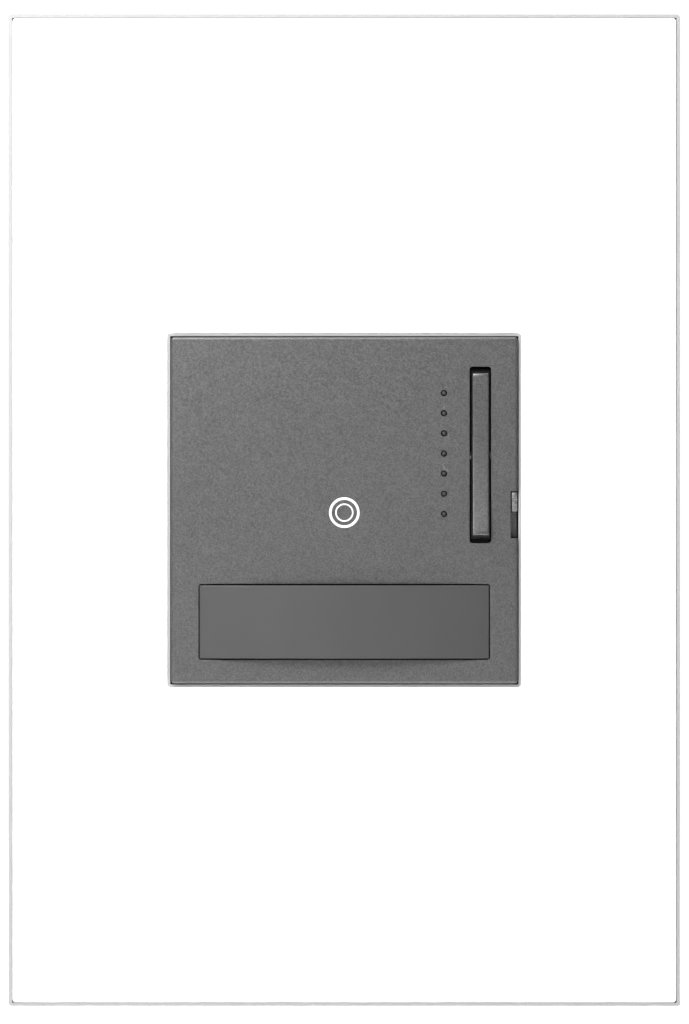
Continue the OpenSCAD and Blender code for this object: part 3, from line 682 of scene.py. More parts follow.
base = softened_copy("wall_plate_base", 0.06)
hand_over(base, "plate_base", "root", "wall_plate_base", BASE_GREY)
strap = softened_copy("mounting_frame", 0.12)
hand_over(strap, "mounting_strap", "root", "mounting_frame", ZINC)
body_front = softened_copy("chassis", 0.08, 1)
hand_over(body_front, "module_chassis", "root", "chassis", CHASSIS_BLACK)
body_back = softened_copy("rear_housing", 0.20)
hand_over(body_back, "module_housing", "root", "rear_housing", HOUSING_BLACK)
print("shells softened")

# %% [markdown]
# ## The face plate
# The face plate is a shallow square cap with a fine bevel round its front. The bar's slot has
# round corners, the lens opening is wide and low, a notch in the right edge gives room to the
# service tab, and seven small holes let the level lights through. On its back are the hinge
# lugs, the hooks, the post that works the switch and the spigots of its springs.

# %% The cap
FACE_LOW, FACE_HIGH = cad("face_plate")
FACE_HALF = FACE_HIGH[0]
FACE_FRONT = FACE_HIGH[2]
FACE_T = 1.6
FACE_BACK = FACE_FRONT - FACE_T
SKIRT_T = 1.1
SKIRT_IN = FACE_HALF - SKIRT_T
SKIRT_BACK = 4.0
LIGHT_X, LIGHT_TOP, LIGHT_PITCH, LIGHT_COUNT = 13.06, 15.37, 2.64, 7
LIGHT_UPS = [LIGHT_TOP - LIGHT_PITCH * i for i in range(LIGHT_COUNT)]
SLOT_LOW, SLOT_HIGH = (16.42, -4.32), (19.24, 18.84)
LENS_LOW, LENS_HIGH = cad("sensor_lens")
LENS_UP = -14.625
LENS_HALF_W, LENS_HALF_H = 19.0, 4.8
NOTCH_X, NOTCH_LOW, NOTCH_HIGH = 21.8, -3.65, 2.5
ICON_UP = -0.3
RING_LINES = [(1.844, 0.35), (1.10, 0.21)]
HINGE_UP, HINGE_OUT = 20.3, 4.6

face = block("face", (*FACE_LOW[:2], SKIRT_BACK), FACE_HIGH)
bevel_where(face, lambda edge: abs(edge.verts[0].co.y - edge.verts[1].co.y) > 1, 0.35, 3)
bevel_where(face, lambda edge: is_sharp(edge) and abs(middle(edge).y + FACE_FRONT) < 0.01, 0.30, 3)
merge(face, [block("inside", (-SKIRT_IN, -SKIRT_IN, 0), (SKIRT_IN, SKIRT_IN, FACE_BACK))], "DIFFERENCE")

# %% Its openings
slot = block("slot", (*SLOT_LOW, FACE_BACK - 1), (*SLOT_HIGH, FACE_FRONT + 1))
bevel_where(slot, lambda edge: abs(edge.verts[0].co.y - edge.verts[1].co.y) > 1, 0.4, 4)
lens_hole = block(
    "lens_hole", (-LENS_HALF_W - 0.1, LENS_UP - LENS_HALF_H - 0.175, FACE_BACK - 1),
    (LENS_HALF_W + 0.1, LENS_UP + LENS_HALF_H + 0.175, FACE_FRONT + 1),
)
bevel_where(lens_hole, lambda edge: abs(edge.verts[0].co.y - edge.verts[1].co.y) > 1, 0.3, 3)
notch = block("notch", (NOTCH_X, NOTCH_LOW, 0), (FACE_HALF + 1, NOTCH_HIGH, FACE_FRONT + 1))
skirt_gap = block("gap", (SKIRT_IN - 0.1, -6.85, 0), (FACE_HALF + 1, NOTCH_HIGH, FACE_BACK))
merge(face, [slot, lens_hole, notch, skirt_gap], "DIFFERENCE")
bevel_where(
    face, lambda edge: is_sharp(edge) and abs(middle(edge).y + FACE_FRONT) < 0.01, 0.10, 2
)
light_holes = [rod("hole", 0.42, 4, (LIGHT_X, up, FACE_BACK - 1), OUT, 24) for up in LIGHT_UPS]
merge(face, light_holes, "DIFFERENCE")
bevel_where(
    face, lambda edge: is_sharp(edge) and abs(middle(edge).y + FACE_FRONT) < 0.01
    and abs(middle(edge).x - LIGHT_X) < 0.6, 0.05, 2
)
RING_DEPTH = 0.8
for radius, line in RING_LINES:
    half = line / 2 + 0.01
    groove = turned(
        "groove", [(radius - half, 0), (radius + half, 0), (radius + half, 2), (radius - half, 2)],
        (0, ICON_UP, FACE_FRONT - RING_DEPTH), OUT, 64,
    )
    merge(face, [groove], "DIFFERENCE")

# %% Its back
LUG_X, LUG_HALF, LUG_REACH = 12, 2, 1.1
SINK = 0.2
POST_END = cad("on_off_dome")[1][2] + 0.1
back_parts = [rod("post", 1.4, FACE_BACK + 0.2 - POST_END, (0, ICON_UP, POST_END))]
for side in (-1, 1):
    lug = block(
        "lug", (side * LUG_X - LUG_HALF, HINGE_UP - 1.2, HINGE_OUT - LUG_REACH),
        (side * LUG_X + LUG_HALF, SKIRT_IN + SINK, FACE_BACK + SINK)
    )
    bevel_where(
        lug, lambda edge: abs(middle(edge).y + HINGE_OUT - LUG_REACH) < 0.01
        and abs(edge.verts[0].co.x - edge.verts[1].co.x) > 1, 0.5, 4
    )
    merge(lug, [rod("bore", 0.66, 8, (side * 12 - 4, HINGE_UP, HINGE_OUT), RIGHT)], "DIFFERENCE")
    hook = block(
        "hook", (side * LUG_X - LUG_HALF, -SKIRT_IN - SINK, SKIRT_BACK),
        (side * LUG_X + LUG_HALF, -SKIRT_IN + 0.7, SKIRT_BACK + 0.6)
    )
    bevel_where(
        hook, lambda edge: middle(edge).z > -SKIRT_IN + 0.6 and middle(edge).y > -SKIRT_BACK - 0.1, 0.25, 2
    )
    spigot = rod("spigot", 0.9, 1.4, (side * 14, -6.8, FACE_BACK - 1.2))
    back_parts += [lug, hook, spigot]
merge(face, back_parts)
hand_over(face, "tap_plate", "face", "face_plate", FACE_GRAPHITE)
print("face plate:", len(face.data.polygons), "faces")

# %% [markdown]
# ## The two rings
# The tap mark is two thin white rings moulded into grooves of the face. Each is a small
# outline with soft front corners, spun round the mark's centre.

# %% The rings
def ring(radius, line):
    """A flat ring with rounded front edges, its front level with the face."""
    low, high, soft = radius - line / 2, radius + line / 2, 0.04
    top = RING_DEPTH
    outline = [
        (low, 0), (high, 0), (high, top - soft), (high - soft * 0.3, top - soft * 0.3),
        (high - soft, top), (low + soft, top), (low + soft * 0.3, top - soft * 0.3), (low, top - soft),
    ]
    return turned("ring", outline, (0, ICON_UP, FACE_FRONT - RING_DEPTH), OUT, 72)


for (radius, line), node in zip(RING_LINES, ("ring_icon_outer", "ring_icon_inner")):
    hand_over(ring(radius, line), node.replace("icon", "inlay"), "face", node, INLAY_WHITE)

# %% [markdown]
# ## The level bar
# The bar rocks about a pin at its middle. Its front is a long shallow hollow that guides the
# thumb: almost level with the face at the top and well proud of it at the bottom. Its sides
# and ends lean in a little, as a moulding's do. A block is subdivided along its height, the
# front points are moved onto the hollow's arc by a formula, and the front edges are rounded.

# %% The bar
BAR_X, BAR_HALF = 17.87, 1.25
BAR_LOW, BAR_HIGH = -3.8, 18.26
TIP_LOW, TIP_HIGH = -3.22, 17.87
HOLLOW_R, HOLLOW_UP, HOLLOW_DEPTH = 106.0, 14.67, 8.57
PIN_UP, PIN_OUT = 7.2, 4.4
BAR_UNDER = 6.0
BAR_FOOT = 3.2
FOOT_REACH = 9.4
BAR_FRONT_HALF = 1.05


def hollow_front(up):
    """How far out the bar's front is at a height."""
    return HOLLOW_DEPTH + HOLLOW_R - math.sqrt(HOLLOW_R ** 2 - (up - HOLLOW_UP) ** 2)


bar = block("bar", (BAR_X - BAR_HALF, BAR_LOW, BAR_UNDER), (BAR_X + BAR_HALF, BAR_HIGH, 8.0))
pick(bar, "FACE", lambda face: face.normal.y < -0.9)
bpy.ops.mesh.extrude_region_move(TRANSFORM_OT_translate={"value": (0, -1, 0)})
close()
pick(bar, "EDGE", lambda edge: abs(edge.verts[0].co.z - edge.verts[1].co.z) > 5)
bpy.ops.mesh.subdivide(number_cuts=40)
close()
for vert in bar.data.vertices:
    if vert.co.y < -8.5:
        share = (vert.co.z - BAR_LOW) / (BAR_HIGH - BAR_LOW)
        vert.co.z = TIP_LOW + (TIP_HIGH - TIP_LOW) * share
        vert.co.y = -hollow_front(vert.co.z)
        vert.co.x = BAR_X - BAR_FRONT_HALF if vert.co.x < BAR_X else BAR_X + BAR_FRONT_HALF
bevel_where(
    bar, lambda edge: is_sharp(edge) and middle(edge).y < -8.2, 0.16, 3
)
foot_parts = []
for reach in (-FOOT_REACH, FOOT_REACH):
    foot_parts.append(block(
        "foot", (BAR_X - BAR_HALF, PIN_UP + reach - 0.9, BAR_FOOT),
        (BAR_X + BAR_HALF, PIN_UP + reach + 0.9, BAR_UNDER + 0.3)
    ))
foot_parts.append(block(
    "hub", (BAR_X - BAR_HALF, PIN_UP - 1.6, BAR_FOOT + 0.2),
    (BAR_X + BAR_HALF, PIN_UP + 1.6, BAR_UNDER + 0.3)
))
for part in foot_parts:
    soften(part, 0.15)
merge(bar, foot_parts)
merge(bar, [rod("bore", 0.6, 6, (BAR_X - 3, PIN_UP, PIN_OUT), RIGHT)], "DIFFERENCE")
hand_over(bar, "level_bar", "rocker", "dimmer_rocker", BAR_GRAPHITE, math.radians(40))

# %% [markdown]
# ## The sensor lens
# The lens is curved in plan, like a barrel stave lying on its side: highest in the middle and
# level with the face at its ends. A block is subdivided across its width and its front points
# are moved onto the arc. The inside is cut with a stepped shape, one step to each facet.

# %% The lens
LENS_BULGE = LENS_HIGH[2] - FACE_FRONT
LENS_WALL = 0.8
LENS_R = (LENS_HALF_W ** 2 + LENS_BULGE ** 2) / (2 * LENS_BULGE)
FACETS = 12


def lens_front(right, stand_in=0.0):
    """How far out the lens's front is at a distance from its middle."""
    drop = LENS_R - math.sqrt(LENS_R ** 2 - right ** 2)
    return LENS_HIGH[2] - drop - stand_in


def bowed_block(name, half_w, half_h, back, cuts, out_at):
    """A block whose front follows a function of the distance from its middle."""
    piece = block(name, (-half_w, LENS_UP - half_h, back), (half_w, LENS_UP + half_h, FACE_FRONT + 1))
    pick(piece, "EDGE", lambda edge: abs(edge.verts[0].co.x - edge.verts[1].co.x) > 5)
    bpy.ops.mesh.subdivide(number_cuts=cuts)
    close()
    for vert in piece.data.vertices:
        if vert.co.y < -FACE_FRONT:
            vert.co.y = -out_at(vert.co.x)
    return piece


def facet_front(right):
    """The inner side: each facet is a slope that ends in a small step."""
    width = 2 * (LENS_HALF_W - LENS_WALL) / FACETS
    along = abs(right) / width
    return lens_front(right, LENS_WALL) - 0.18 * (along - math.floor(along))


lens = bowed_block("lens", LENS_HALF_W, LENS_HALF_H, LENS_LOW[2], 63, lens_front)
bevel_where(lens, lambda edge: is_sharp(edge) and middle(edge).y < -FACE_FRONT + 0.05, 0.16, 3)
lens_inside = bowed_block(
    "inside", LENS_HALF_W - LENS_WALL, LENS_HALF_H - LENS_WALL, LENS_LOW[2] - 1, 95, facet_front
)
FLANGE_HALF = 19.6
flange = block(
    "flange", (-FLANGE_HALF, LENS_UP - LENS_HALF_H - 0.3, LENS_LOW[2]),
    (FLANGE_HALF, LENS_UP + LENS_HALF_H + 0.8, LENS_LOW[2] + 0.8)
)
merge(lens, [soften(flange, 0.08, 1)])
merge(lens, [lens_inside], "DIFFERENCE")
hand_over(lens, "fresnel_lens", "root", "sensor_lens", LENS_SMOKE)
print("lens radius, millimetres:", round(LENS_R, 1))

# %% [markdown]
# ## The service tab
# The tab in the right edge is a slide: pulled down, it parts the air-gap contacts, so that a
# lamp can be changed safely. Its finger is small, with two grip grooves across it, and its arm
# runs through the chassis wall to the contacts.

# %% The tab
TAB_LOW, TAB_HIGH = cad("air_gap_tab")
TAB_FINGER_X = 21.92
TAB_FINGER_LOW = TAB_HIGH[1] - 2.6
TAB_SLIDE_TOP, TAB_SLIDE_X = 6.2, 21.4
tab = block("tab", (TAB_FINGER_X, TAB_FINGER_LOW, TAB_SLIDE_TOP - 0.1), TAB_HIGH)
soften(tab, 0.12, 3)
grooves = [
    rod("groove", 0.13, 3, (TAB_FINGER_X - 1, TAB_FINGER_LOW + share * 2.6, TAB_HIGH[2] + 0.05), RIGHT, 12)
    for share in (0.36, 0.64)
]
merge(tab, grooves, "DIFFERENCE")
tab_arm = [
    block("slide", (TAB_SLIDE_X, *TAB_LOW[1:]), (TAB_HIGH[0], TAB_HIGH[1], TAB_SLIDE_TOP)),
    block(
        "arm", (TAB_LOW[0], TAB_FINGER_LOW, TAB_LOW[2]),
        (TAB_SLIDE_X + 0.1, TAB_HIGH[1], TAB_LOW[2] + 0.9)
    ),
]
merge(tab, [soften(part, 0.06, 1) for part in tab_arm])
hand_over(tab, "service_tab", "tab", "air_gap_tab", TAB_GRAPHITE_PAINTED_LIT)

# %% [markdown]
# ## The level lights
# One clear moulding carries light from seven small lamps on the board to seven tips in the
# face. The lights are off, so the tips look like dark beads. Each tip is an outline with a
# domed end, spun once and copied down the row.

# %% The light guide
TIP_R = 0.32
dome_points = [
    (TIP_R * math.cos(angle), math.sin(angle) * 0.16)
    for angle in (math.pi / 2 * step / 5 for step in range(6))
]
tip_length = FACE_FRONT - 0.31 - FACE_BACK
outline = [(0, -0.3), (TIP_R, -0.3)] + [(radius, tip_length + rise) for radius, rise in dome_points]
tip = turned("tip", outline, (LIGHT_X, LIGHT_TOP, FACE_BACK), OUT, 20)
tips = copies(tip, [(0, -LIGHT_PITCH * i, 0) for i in range(1, LIGHT_COUNT)])
guide_low, guide_high = cad("level_light_guide")
guide_bar = soften(block("guide", guide_low, (guide_high[0], guide_high[1], FACE_BACK)), 0.15)
hand_over(
    gather([guide_bar] + tips, "guide"),
    "light_guide", "face", "level_light_guide", TIP_CLEAR
)

# %% [markdown]
# ## Screws
# A screw is a turned body and a thread. The body's outline runs from the tip up the core and
# round the head, and is spun. The thread is a small triangle carried up a helix, so that its
# ridge is real. The driver's recess is cut with two crossed blocks, or one for a slot. Each kind
# is modelled once, pointing up, then copied and aimed.

# %% The screw maker
THREAD_DEPTH = 0.28


def pan_head(radius, height):
    """A head with a straight rim and a crowned top."""
    return [
        (radius, 0.0), (radius, height * 0.55), (radius * 0.93, height * 0.82),
        (radius * 0.7, height), (0, height),
    ]


def flat_head(radius, shank_r, height):
    """A countersunk head, whose cone starts at the shank."""
    return [(shank_r, 0.0), (radius, height * 0.94), (radius, height), (0, height)]


def hex_head(radius, height):
    """Six flat sides under a chamfered top."""
    head = rod("hex", radius, height, (0, 0, 0), UP, 6)
    pick(head, "FACE", lambda face: face.normal.z > 0.9)
    bpy.ops.mesh.inset(thickness=0.3)
    close()
    bevel_where(head, lambda edge: is_sharp(edge) and middle(edge).z > height - 0.01, 0.18, 2)
    return soften(head, 0.08, 1)


def recess(head_top, reach, deep, slot=False, bar=0.8):
    """Cutters for a crossed recess, or a single slot."""
    low, high = head_top - deep, head_top + 1
    cutters = []
    for across, along in ((bar / 2, reach), (reach, bar / 2))[:1 if slot else 2]:
        bpy.ops.object.select_all(action="DESELECT")
        bpy.ops.mesh.primitive_cube_add(size=1, location=(0, 0, (low + high) / 2))
        cutter = bpy.context.object
        cutter.scale = (2 * across, 2 * along, high - low)
        settle(cutter)
        cutters.append(bevel_where(cutter, lambda edge: middle(edge).z < low + 0.01, bar * 0.2, 2))
    return cutters


def screw(outline_head, radius, length, pitch, cut_with, neck=None, extra=()):
    """A screw along +Z, with its head's seat at the origin."""
    core = radius - THREAD_DEPTH
    neck_r, neck_end = neck or (core, 0.3)
    outline = [
        (0, -length), (core * 0.6, -length), (core, 0.7 - length),
        (core, -neck_end), (neck_r, -neck_end),
    ]
    if neck_r != outline_head[0][0]:
        outline.append((neck_r, 0.0))
    body = turned("screw", outline + outline_head, (0, 0, 0), UP, 32)
    merge(body, cut_with, "DIFFERENCE")
    soften(body, 0.05, 1)
    span = length - neck_end - 1.0
    ridge = [(core - 0.06, -0.36 * pitch), (radius, 0.0), (core - 0.06, 0.36 * pitch)]
    thread = coiled("thread", ridge, pitch, int(span / pitch), (0, 0, 0), UP, 20)
    thread.location.z = 0.6 - length + 0.36 * pitch
    return gather([body, settle(thread)] + list(extra), "screw")


def set_screws(piece, places, towards):
    """Copies of a screw at several places, all pointing one way, as one object."""
    made = []
    for place in places:
        other = piece.copy()
        other.data = piece.data.copy()
        bpy.context.collection.objects.link(other)
        made.append(aim(other, place, towards))
    bpy.data.objects.remove(piece)
    return gather(made, "screws")


# %% Plate, box and ground screws
BOX_PITCH, PLATE_PITCH = 83.3, 96.84
STRAP_FRONT = cad("mounting_frame")[1][2]
plate_seat = cad("plate_screws")[1][2] - 1.9
screw_r, head_r = 1.75, 3.4
plate_length = plate_seat - cad("plate_screws")[0][2]
plate_screw = screw(
    flat_head(head_r, screw_r - THREAD_DEPTH, 1.9), screw_r, plate_length, 0.79,
    recess(1.9, 1.85, 1.0), neck=(screw_r - THREAD_DEPTH, 0.3),
)
places = [(0, side * PLATE_PITCH / 2, plate_seat) for side in (-1, 1)]
hand_over(set_screws(plate_screw, places, OUT), "cover_screws", "root", "plate_screws", ZINC)

box_length = STRAP_FRONT - cad("box_screws")[0][2]
box_screw = screw(
    pan_head(head_r, 2.0), screw_r, box_length, 0.79, recess(2.0, 1.85, 1.0), neck=(1.6, STRAP_FRONT + 0.45),
)
places = [(0, side * BOX_PITCH / 2, STRAP_FRONT) for side in (-1, 1)]
hand_over(set_screws(box_screw, places, OUT), "strap_screws", "root", "box_screws", ZINC)

ground_length = STRAP_FRONT - cad("ground_screw")[0][2]
ground_head = hex_head(head_r, 2.0)
merge(ground_head, recess(2.0, 1.85, 1.0), "DIFFERENCE")
ground = screw(
    [(screw_r, 0.0), (screw_r, 0.3), (0, 0.3)], screw_r, ground_length, 0.79, [], extra=[ground_head]
)
ground_spot = [(low + high) / 2 for low, high in zip(*cad("ground_screw"))]
places = [(ground_spot[0], ground_spot[1], STRAP_FRONT)]
hand_over(set_screws(ground, places, OUT), "earth_screw", "root", "ground_screw", GREEN_ZINC)

# %% Housing, terminal and clamp screws
CORNER_AT = 17.9
housing_low, housing_high = cad("housing_screws")
housing_seat = housing_low[2] + 2.1
housing_length = housing_high[2] - housing_seat
housing_screw = screw(
    pan_head(2.2, 2.1), 1.2, housing_length, 0.9, recess(2.1, 1.3, 0.8, bar=0.6), neck=(1.2, 24.0),
)
places = [(x, y, housing_seat) for x in (-CORNER_AT, CORNER_AT) for y in (-CORNER_AT, CORNER_AT)]
hand_over(
    set_screws(housing_screw, places, IN), "body_screws", "root", "housing_screws", ZINC,
)

TERM_UP, TERM_OUT = 9.5, -24.2
TERM_HEAD_X = cad("terminal_screws")[1][0] - 1.9
term_spots = [(side * TERM_HEAD_X, up, TERM_OUT) for side in (-1, 1) for up in (-TERM_UP, TERM_UP)]
term_length = TERM_HEAD_X - 13.6
halves = []
for side, towards in ((-1, LEFT), (1, RIGHT)):
    binding = screw(
        [(3.3, 0.0), (3.3, 1.3), (3.0, 1.7), (2.4, 1.9), (0, 1.9)], 1.75, term_length, 0.79,
        recess(1.9, 4.0, 0.9, slot=True),
    )
    halves.append(set_screws(binding, [place for place in term_spots if place[0] * side > 0], towards))
hand_over(gather(halves, "binding"), "binding_screws", "root", "terminal_screws", BRASS)
clamp = softened_copy("terminal_plates", 0.08)
hand_over(clamp, "clamp_plates", "root", "terminal_plates", BRASS)
print("screws turned")

# %% [markdown]
# ## Retainers, pins and springs
# The retainers are small punched fibre washers that keep the box screws from falling out. The
# pins are ground wire with chamfered ends. Each return spring is a helix of wire with a closed
# coil at either end, and it shortens when the face is tapped.

# %% Retainers and pins
RETAINER_T = 0.4
washer = block("washer", (-4, BOX_PITCH / 2 - 3, -RETAINER_T), (4, BOX_PITCH / 2 + 3, 0))
bevel_where(washer, lambda edge: abs(edge.verts[0].co.y - edge.verts[1].co.y) > 0.2, 1.0, 5)
merge(washer, [rod("hole", 1.62, 3, (0, BOX_PITCH / 2, -2), OUT, 32)], "DIFFERENCE")
soften(washer, 0.05, 1)
retainers = gather(copies(washer, [(0, -BOX_PITCH, 0)]), "washers")
hand_over(retainers, "fibre_washers", "root", "screw_retainers", FIBRE)


def pin(node, name, chamfer=0.15):
    """A round pin along X with chamfered ends, in its CAD place."""
    low, high = cad(node)
    radius, length = (high[1] - low[1]) / 2, high[0] - low[0]
    outline = [
        (0, 0), (radius - chamfer, 0), (radius, chamfer), (radius, length - chamfer),
        (radius - chamfer, length), (0, length),
    ]
    made = turned(name, outline, (low[0], (low[1] + high[1]) / 2, (low[2] + high[2]) / 2), RIGHT, 28)
    return hand_over(made, name, "root", node, ZINC)


pin("face_hinge_pin", "hinge_wire")
pin("rocker_pin", "bar_pivot")

# %% Springs
spring_low, spring_high = cad("face_springs")
SPRING_R, SPRING_WIRE_R = 1.4, 0.2
SPRING_TURNS = 4


def return_spring(right, up):
    """One compression spring: an open helix between two closed coils."""
    bottom, top = spring_low[2] + SPRING_WIRE_R, spring_high[2] - SPRING_WIRE_R
    section = wire_outline(SPRING_R, SPRING_WIRE_R)
    helix = coiled(
        "helix", section, (top - bottom) / SPRING_TURNS, SPRING_TURNS, (right, up, bottom), OUT, 28
    )
    ends = [turned("end", section, (right, up, out), OUT, 28) for out in (bottom, top)]
    return gather([helix] + ends, "spring")


springs = gather([return_spring(side * 14, -6.8) for side in (-1, 1)], "springs")
hand_over(springs, "return_springs", "root", "face_springs", SPRING_WIRE, math.radians(60))
PRESS_AT_SPRING, PRESS_AT_DOME = 0.57, 0.34
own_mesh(springs)

# %% [markdown]
# ## The switch domes
# Under the face and under each end of the bar sits a silicone dome with a hard button of
# contact at its crown. It is an outline with a thin foot, a sloping web and a thick crown, spun
# round. A dome gives way when it is pressed.

# %% The domes
def switch_dome(node, name, pressed):
    """A spun dome in its CAD place."""
    low, high = cad(node)
    foot, height = (high[0] - low[0]) / 2, high[2] - low[2]
    crown = foot * 0.7
    outline = [
        (0, 0), (foot, 0), (foot, 0.18), (foot * 0.93, 0.24), (crown, height * 0.82),
        (crown * 0.96, height * 0.95), (crown * 0.85, height), (0.3, height),
        (0.22, height - 0.08), (0, height - 0.08),
    ]
    made = turned(name, outline, ((low[0] + high[0]) / 2, (low[1] + high[1]) / 2, low[2]), OUT, 32)
    hand_over(made, name, "root", node, RUBBER_PALE)
    1 - pressed / height
    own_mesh(made)
    return made


PRESS_AT_BAR = 0.40
switch_dome("on_off_dome", "tap_dome", PRESS_AT_DOME)
switch_dome("brighter_dome", "upper_bar_dome", PRESS_AT_BAR)
switch_dome("dimmer_dome", "lower_bar_dome", PRESS_AT_BAR)
print("springs and domes made")

# %% [markdown]
# ## The air-gap contacts
# The slide's arm carries a thin brass leaf down between two fixed blades. Pulling the tab down
# draws the leaf off them. The leaf has a round end and a riveted contact, and the blades have
# rounded tips.

# %% Leaf and blades
leaf_low, leaf_high = cad("air_gap_leaf")
leaf = block("leaf", leaf_low, leaf_high)
bevel_where(
    leaf, lambda edge: abs(edge.verts[0].co.x - edge.verts[1].co.x) > 0.2 and middle(edge).y > 0, 0.7, 4,
)
soften(leaf, 0.05, 1)
rivet = turned(
    "rivet", [(0, 0), (0.5, 0), (0.45, 0.12), (0.25, 0.2), (0, 0.22)],
    (leaf_high[0] - 0.02, (leaf_low[1] + leaf_high[1]) / 2, leaf_low[2] + 1.2), RIGHT, 20,
)
hand_over(gather([leaf, rivet], "leaf"), "break_leaf", "tab", "air_gap_leaf", BRASS)
blade_low, blade_high = cad("air_gap_contacts")
blade = block("blade", blade_low, (blade_high[0], blade_low[1] + 0.8, blade_high[2]))
bevel_where(blade, lambda edge: abs(middle(edge).y + blade_high[2]) < 0.01, 0.3, 3)
blades = copies(soften(blade, 0.05, 1), [(0, 1.2, 0)])
hand_over(gather(blades, "blades"), "break_blades", "root", "air_gap_contacts", BRASS)

# %% [markdown]
# ## The control board
# The front board carries the lamps, the sensor and the controller. Its chips have bevelled
# tops, a dimple at the first leg and bent tinned legs. Rows of small chip resistors are one tiny
# block copied along. The metal can of the motion sensor is turned, with a rolled flange and a
# window cut in its front.

# %% The board and its chip
BOARD_LOW, BOARD_HIGH = cad("control_board")
BOARD_TOP = BOARD_HIGH[2]
board = block("board", BOARD_LOW, BOARD_HIGH)
bevel_where(board, lambda edge: abs(edge.verts[0].co.y - edge.verts[1].co.y) > 1, 0.6, 3)
vias = [rod("via", 0.35, 3, (x, y, -0.6), OUT, 12) for x in (-12, -4, 4) for y in (-2.5, 12.5)]
merge(board, vias, "DIFFERENCE")
soften(board, 0.05, 1)
hand_over(board, "front_board", "root", "control_board", BOARD_GREEN)


def chip_legs(centre, half, count, pitch, base):
    """Bent legs on four sides: each is a foot on the board and a shoulder at the body."""
    legs = []
    for turn in range(4):
        for index in range(count):
            along = (index - (count - 1) / 2) * pitch
            foot = block("foot", (along - 0.12, half - 0.05, base), (along + 0.12, half + 0.75, base + 0.14))
            shin = block("shin", (along - 0.12, half - 0.05, base), (along + 0.12, half + 0.2, base + 0.5))
            leg = gather([foot, shin], "leg")
            leg.rotation_euler = (0, turn * math.pi / 2, 0)
            legs.append(settle(leg))
    made = gather(legs, "legs")
    made.location = spot(*centre, 0)
    return settle(made)


chip_low, chip_high = cad("controller_chip")
chip_middle = ((chip_low[0] + chip_high[0]) / 2, (chip_low[1] + chip_high[1]) / 2)
chip = block("chip", (chip_low[0], chip_low[1], chip_low[2] + 0.1), chip_high)
bevel_where(chip, lambda edge: abs(middle(edge).y + chip_high[2]) < 0.01, 0.25, 2)
dimple = rod("dimple", 0.35, 1, (chip_low[0] + 1, chip_high[1] - 1, chip_high[2] - 0.08), OUT, 20)
merge(chip, [dimple], "DIFFERENCE")
hand_over(chip, "controller", "root", "controller_chip", PART_BLACK)


def add_detail(piece, name, material, body="root", smooth=SHARP):
    """A finished piece that stands for no CAD node of its own."""
    shrink(piece, name, material, smooth)
    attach(piece, body)
    return piece


legs = chip_legs(chip_middle, (chip_high[0] - chip_low[0]) / 2, 8, 0.75, BOARD_TOP)
add_detail(legs, "controller_legs", TINNED)

# %% Small parts and lamps
resistor = soften(block("resistor", (-15, -10, BOARD_TOP), (-13.6, -9.3, BOARD_TOP + 0.45)), 0.06, 1)
steps_right = [(2.2 * index, 0, 0) for index in range(1, 5)]
steps_up = [(2.2 * index - 0.6, 20.5, 0) for index in range(8)]
add_detail(
    gather(copies(resistor, steps_right + steps_up), "resistors"),
    "chip_resistors", PART_BLACK,
)
led_low, led_high = cad("level_leds")
led = block("led", (led_low[0], led_high[1] - 0.8, led_low[2]), led_high)
pick(led, "FACE", lambda face: face.normal.y < -0.9)
bpy.ops.mesh.inset(thickness=0.14)
bpy.ops.transform.translate(value=(0, 0.12, 0))
close()
bevel_where(led, lambda edge: abs(edge.verts[0].co.y - edge.verts[1].co.y) > 0.5, 0.08, 2)
leds = copies(led, [(0, -LIGHT_PITCH * i, 0) for i in range(1, LIGHT_COUNT)])
hand_over(gather(leds, "leds"), "level_lamps", "root", "level_leds", LED_CREAM)
light_box = softened_copy("light_shield", 0.08, 1)
hand_over(light_box, "lamp_shield", "root", "light_shield", PART_BLACK)

# %% Sensors
eye_low, eye_high = cad("light_sensor")
eye = block("eye", eye_low, eye_high)
pick(eye, "FACE", lambda face: face.normal.y < -0.9)
bpy.ops.mesh.inset(thickness=0.45)
bpy.ops.transform.translate(value=(0, 0.15, 0))
close()
hand_over(soften(eye, 0.06, 1), "daylight_eye", "root", "light_sensor", PART_BLACK)
can_low, can_high = cad("motion_sensor")
can_h, rim_r = can_high[2] - can_low[2], (can_high[0] - can_low[0]) / 2
can_r = rim_r - 0.4
can_outline = [
    (0, 0), (rim_r, 0), (rim_r, 0.3), (rim_r - 0.1, 0.4), (can_r + 0.08, 0.4), (can_r, 0.5),
    (can_r, can_h - 0.35), (can_r - 0.1, can_h - 0.1), (can_r - 0.35, can_h), (0, can_h),
]
can = turned("can", can_outline, (0, LENS_UP, can_low[2]), OUT, 48)
merge(can, [block(
    "window", (-1.6, LENS_UP - 1.2, can_high[2] - 0.6), (1.6, LENS_UP + 1.2, can_high[2] + 1)
)], "DIFFERENCE")
bevel_where(can, lambda edge: is_sharp(edge) and abs(middle(edge).y + can_high[2]) < 0.01, 0.06, 2)
hand_over(can, "sensor_can", "root", "motion_sensor", NICKEL)
filter_low, filter_high = cad("motion_sensor_window")
pane = soften(block("pane", filter_low, filter_high), 0.08, 2)
hand_over(pane, "sensor_pane", "root", "motion_sensor_window", WINDOW_DARK)

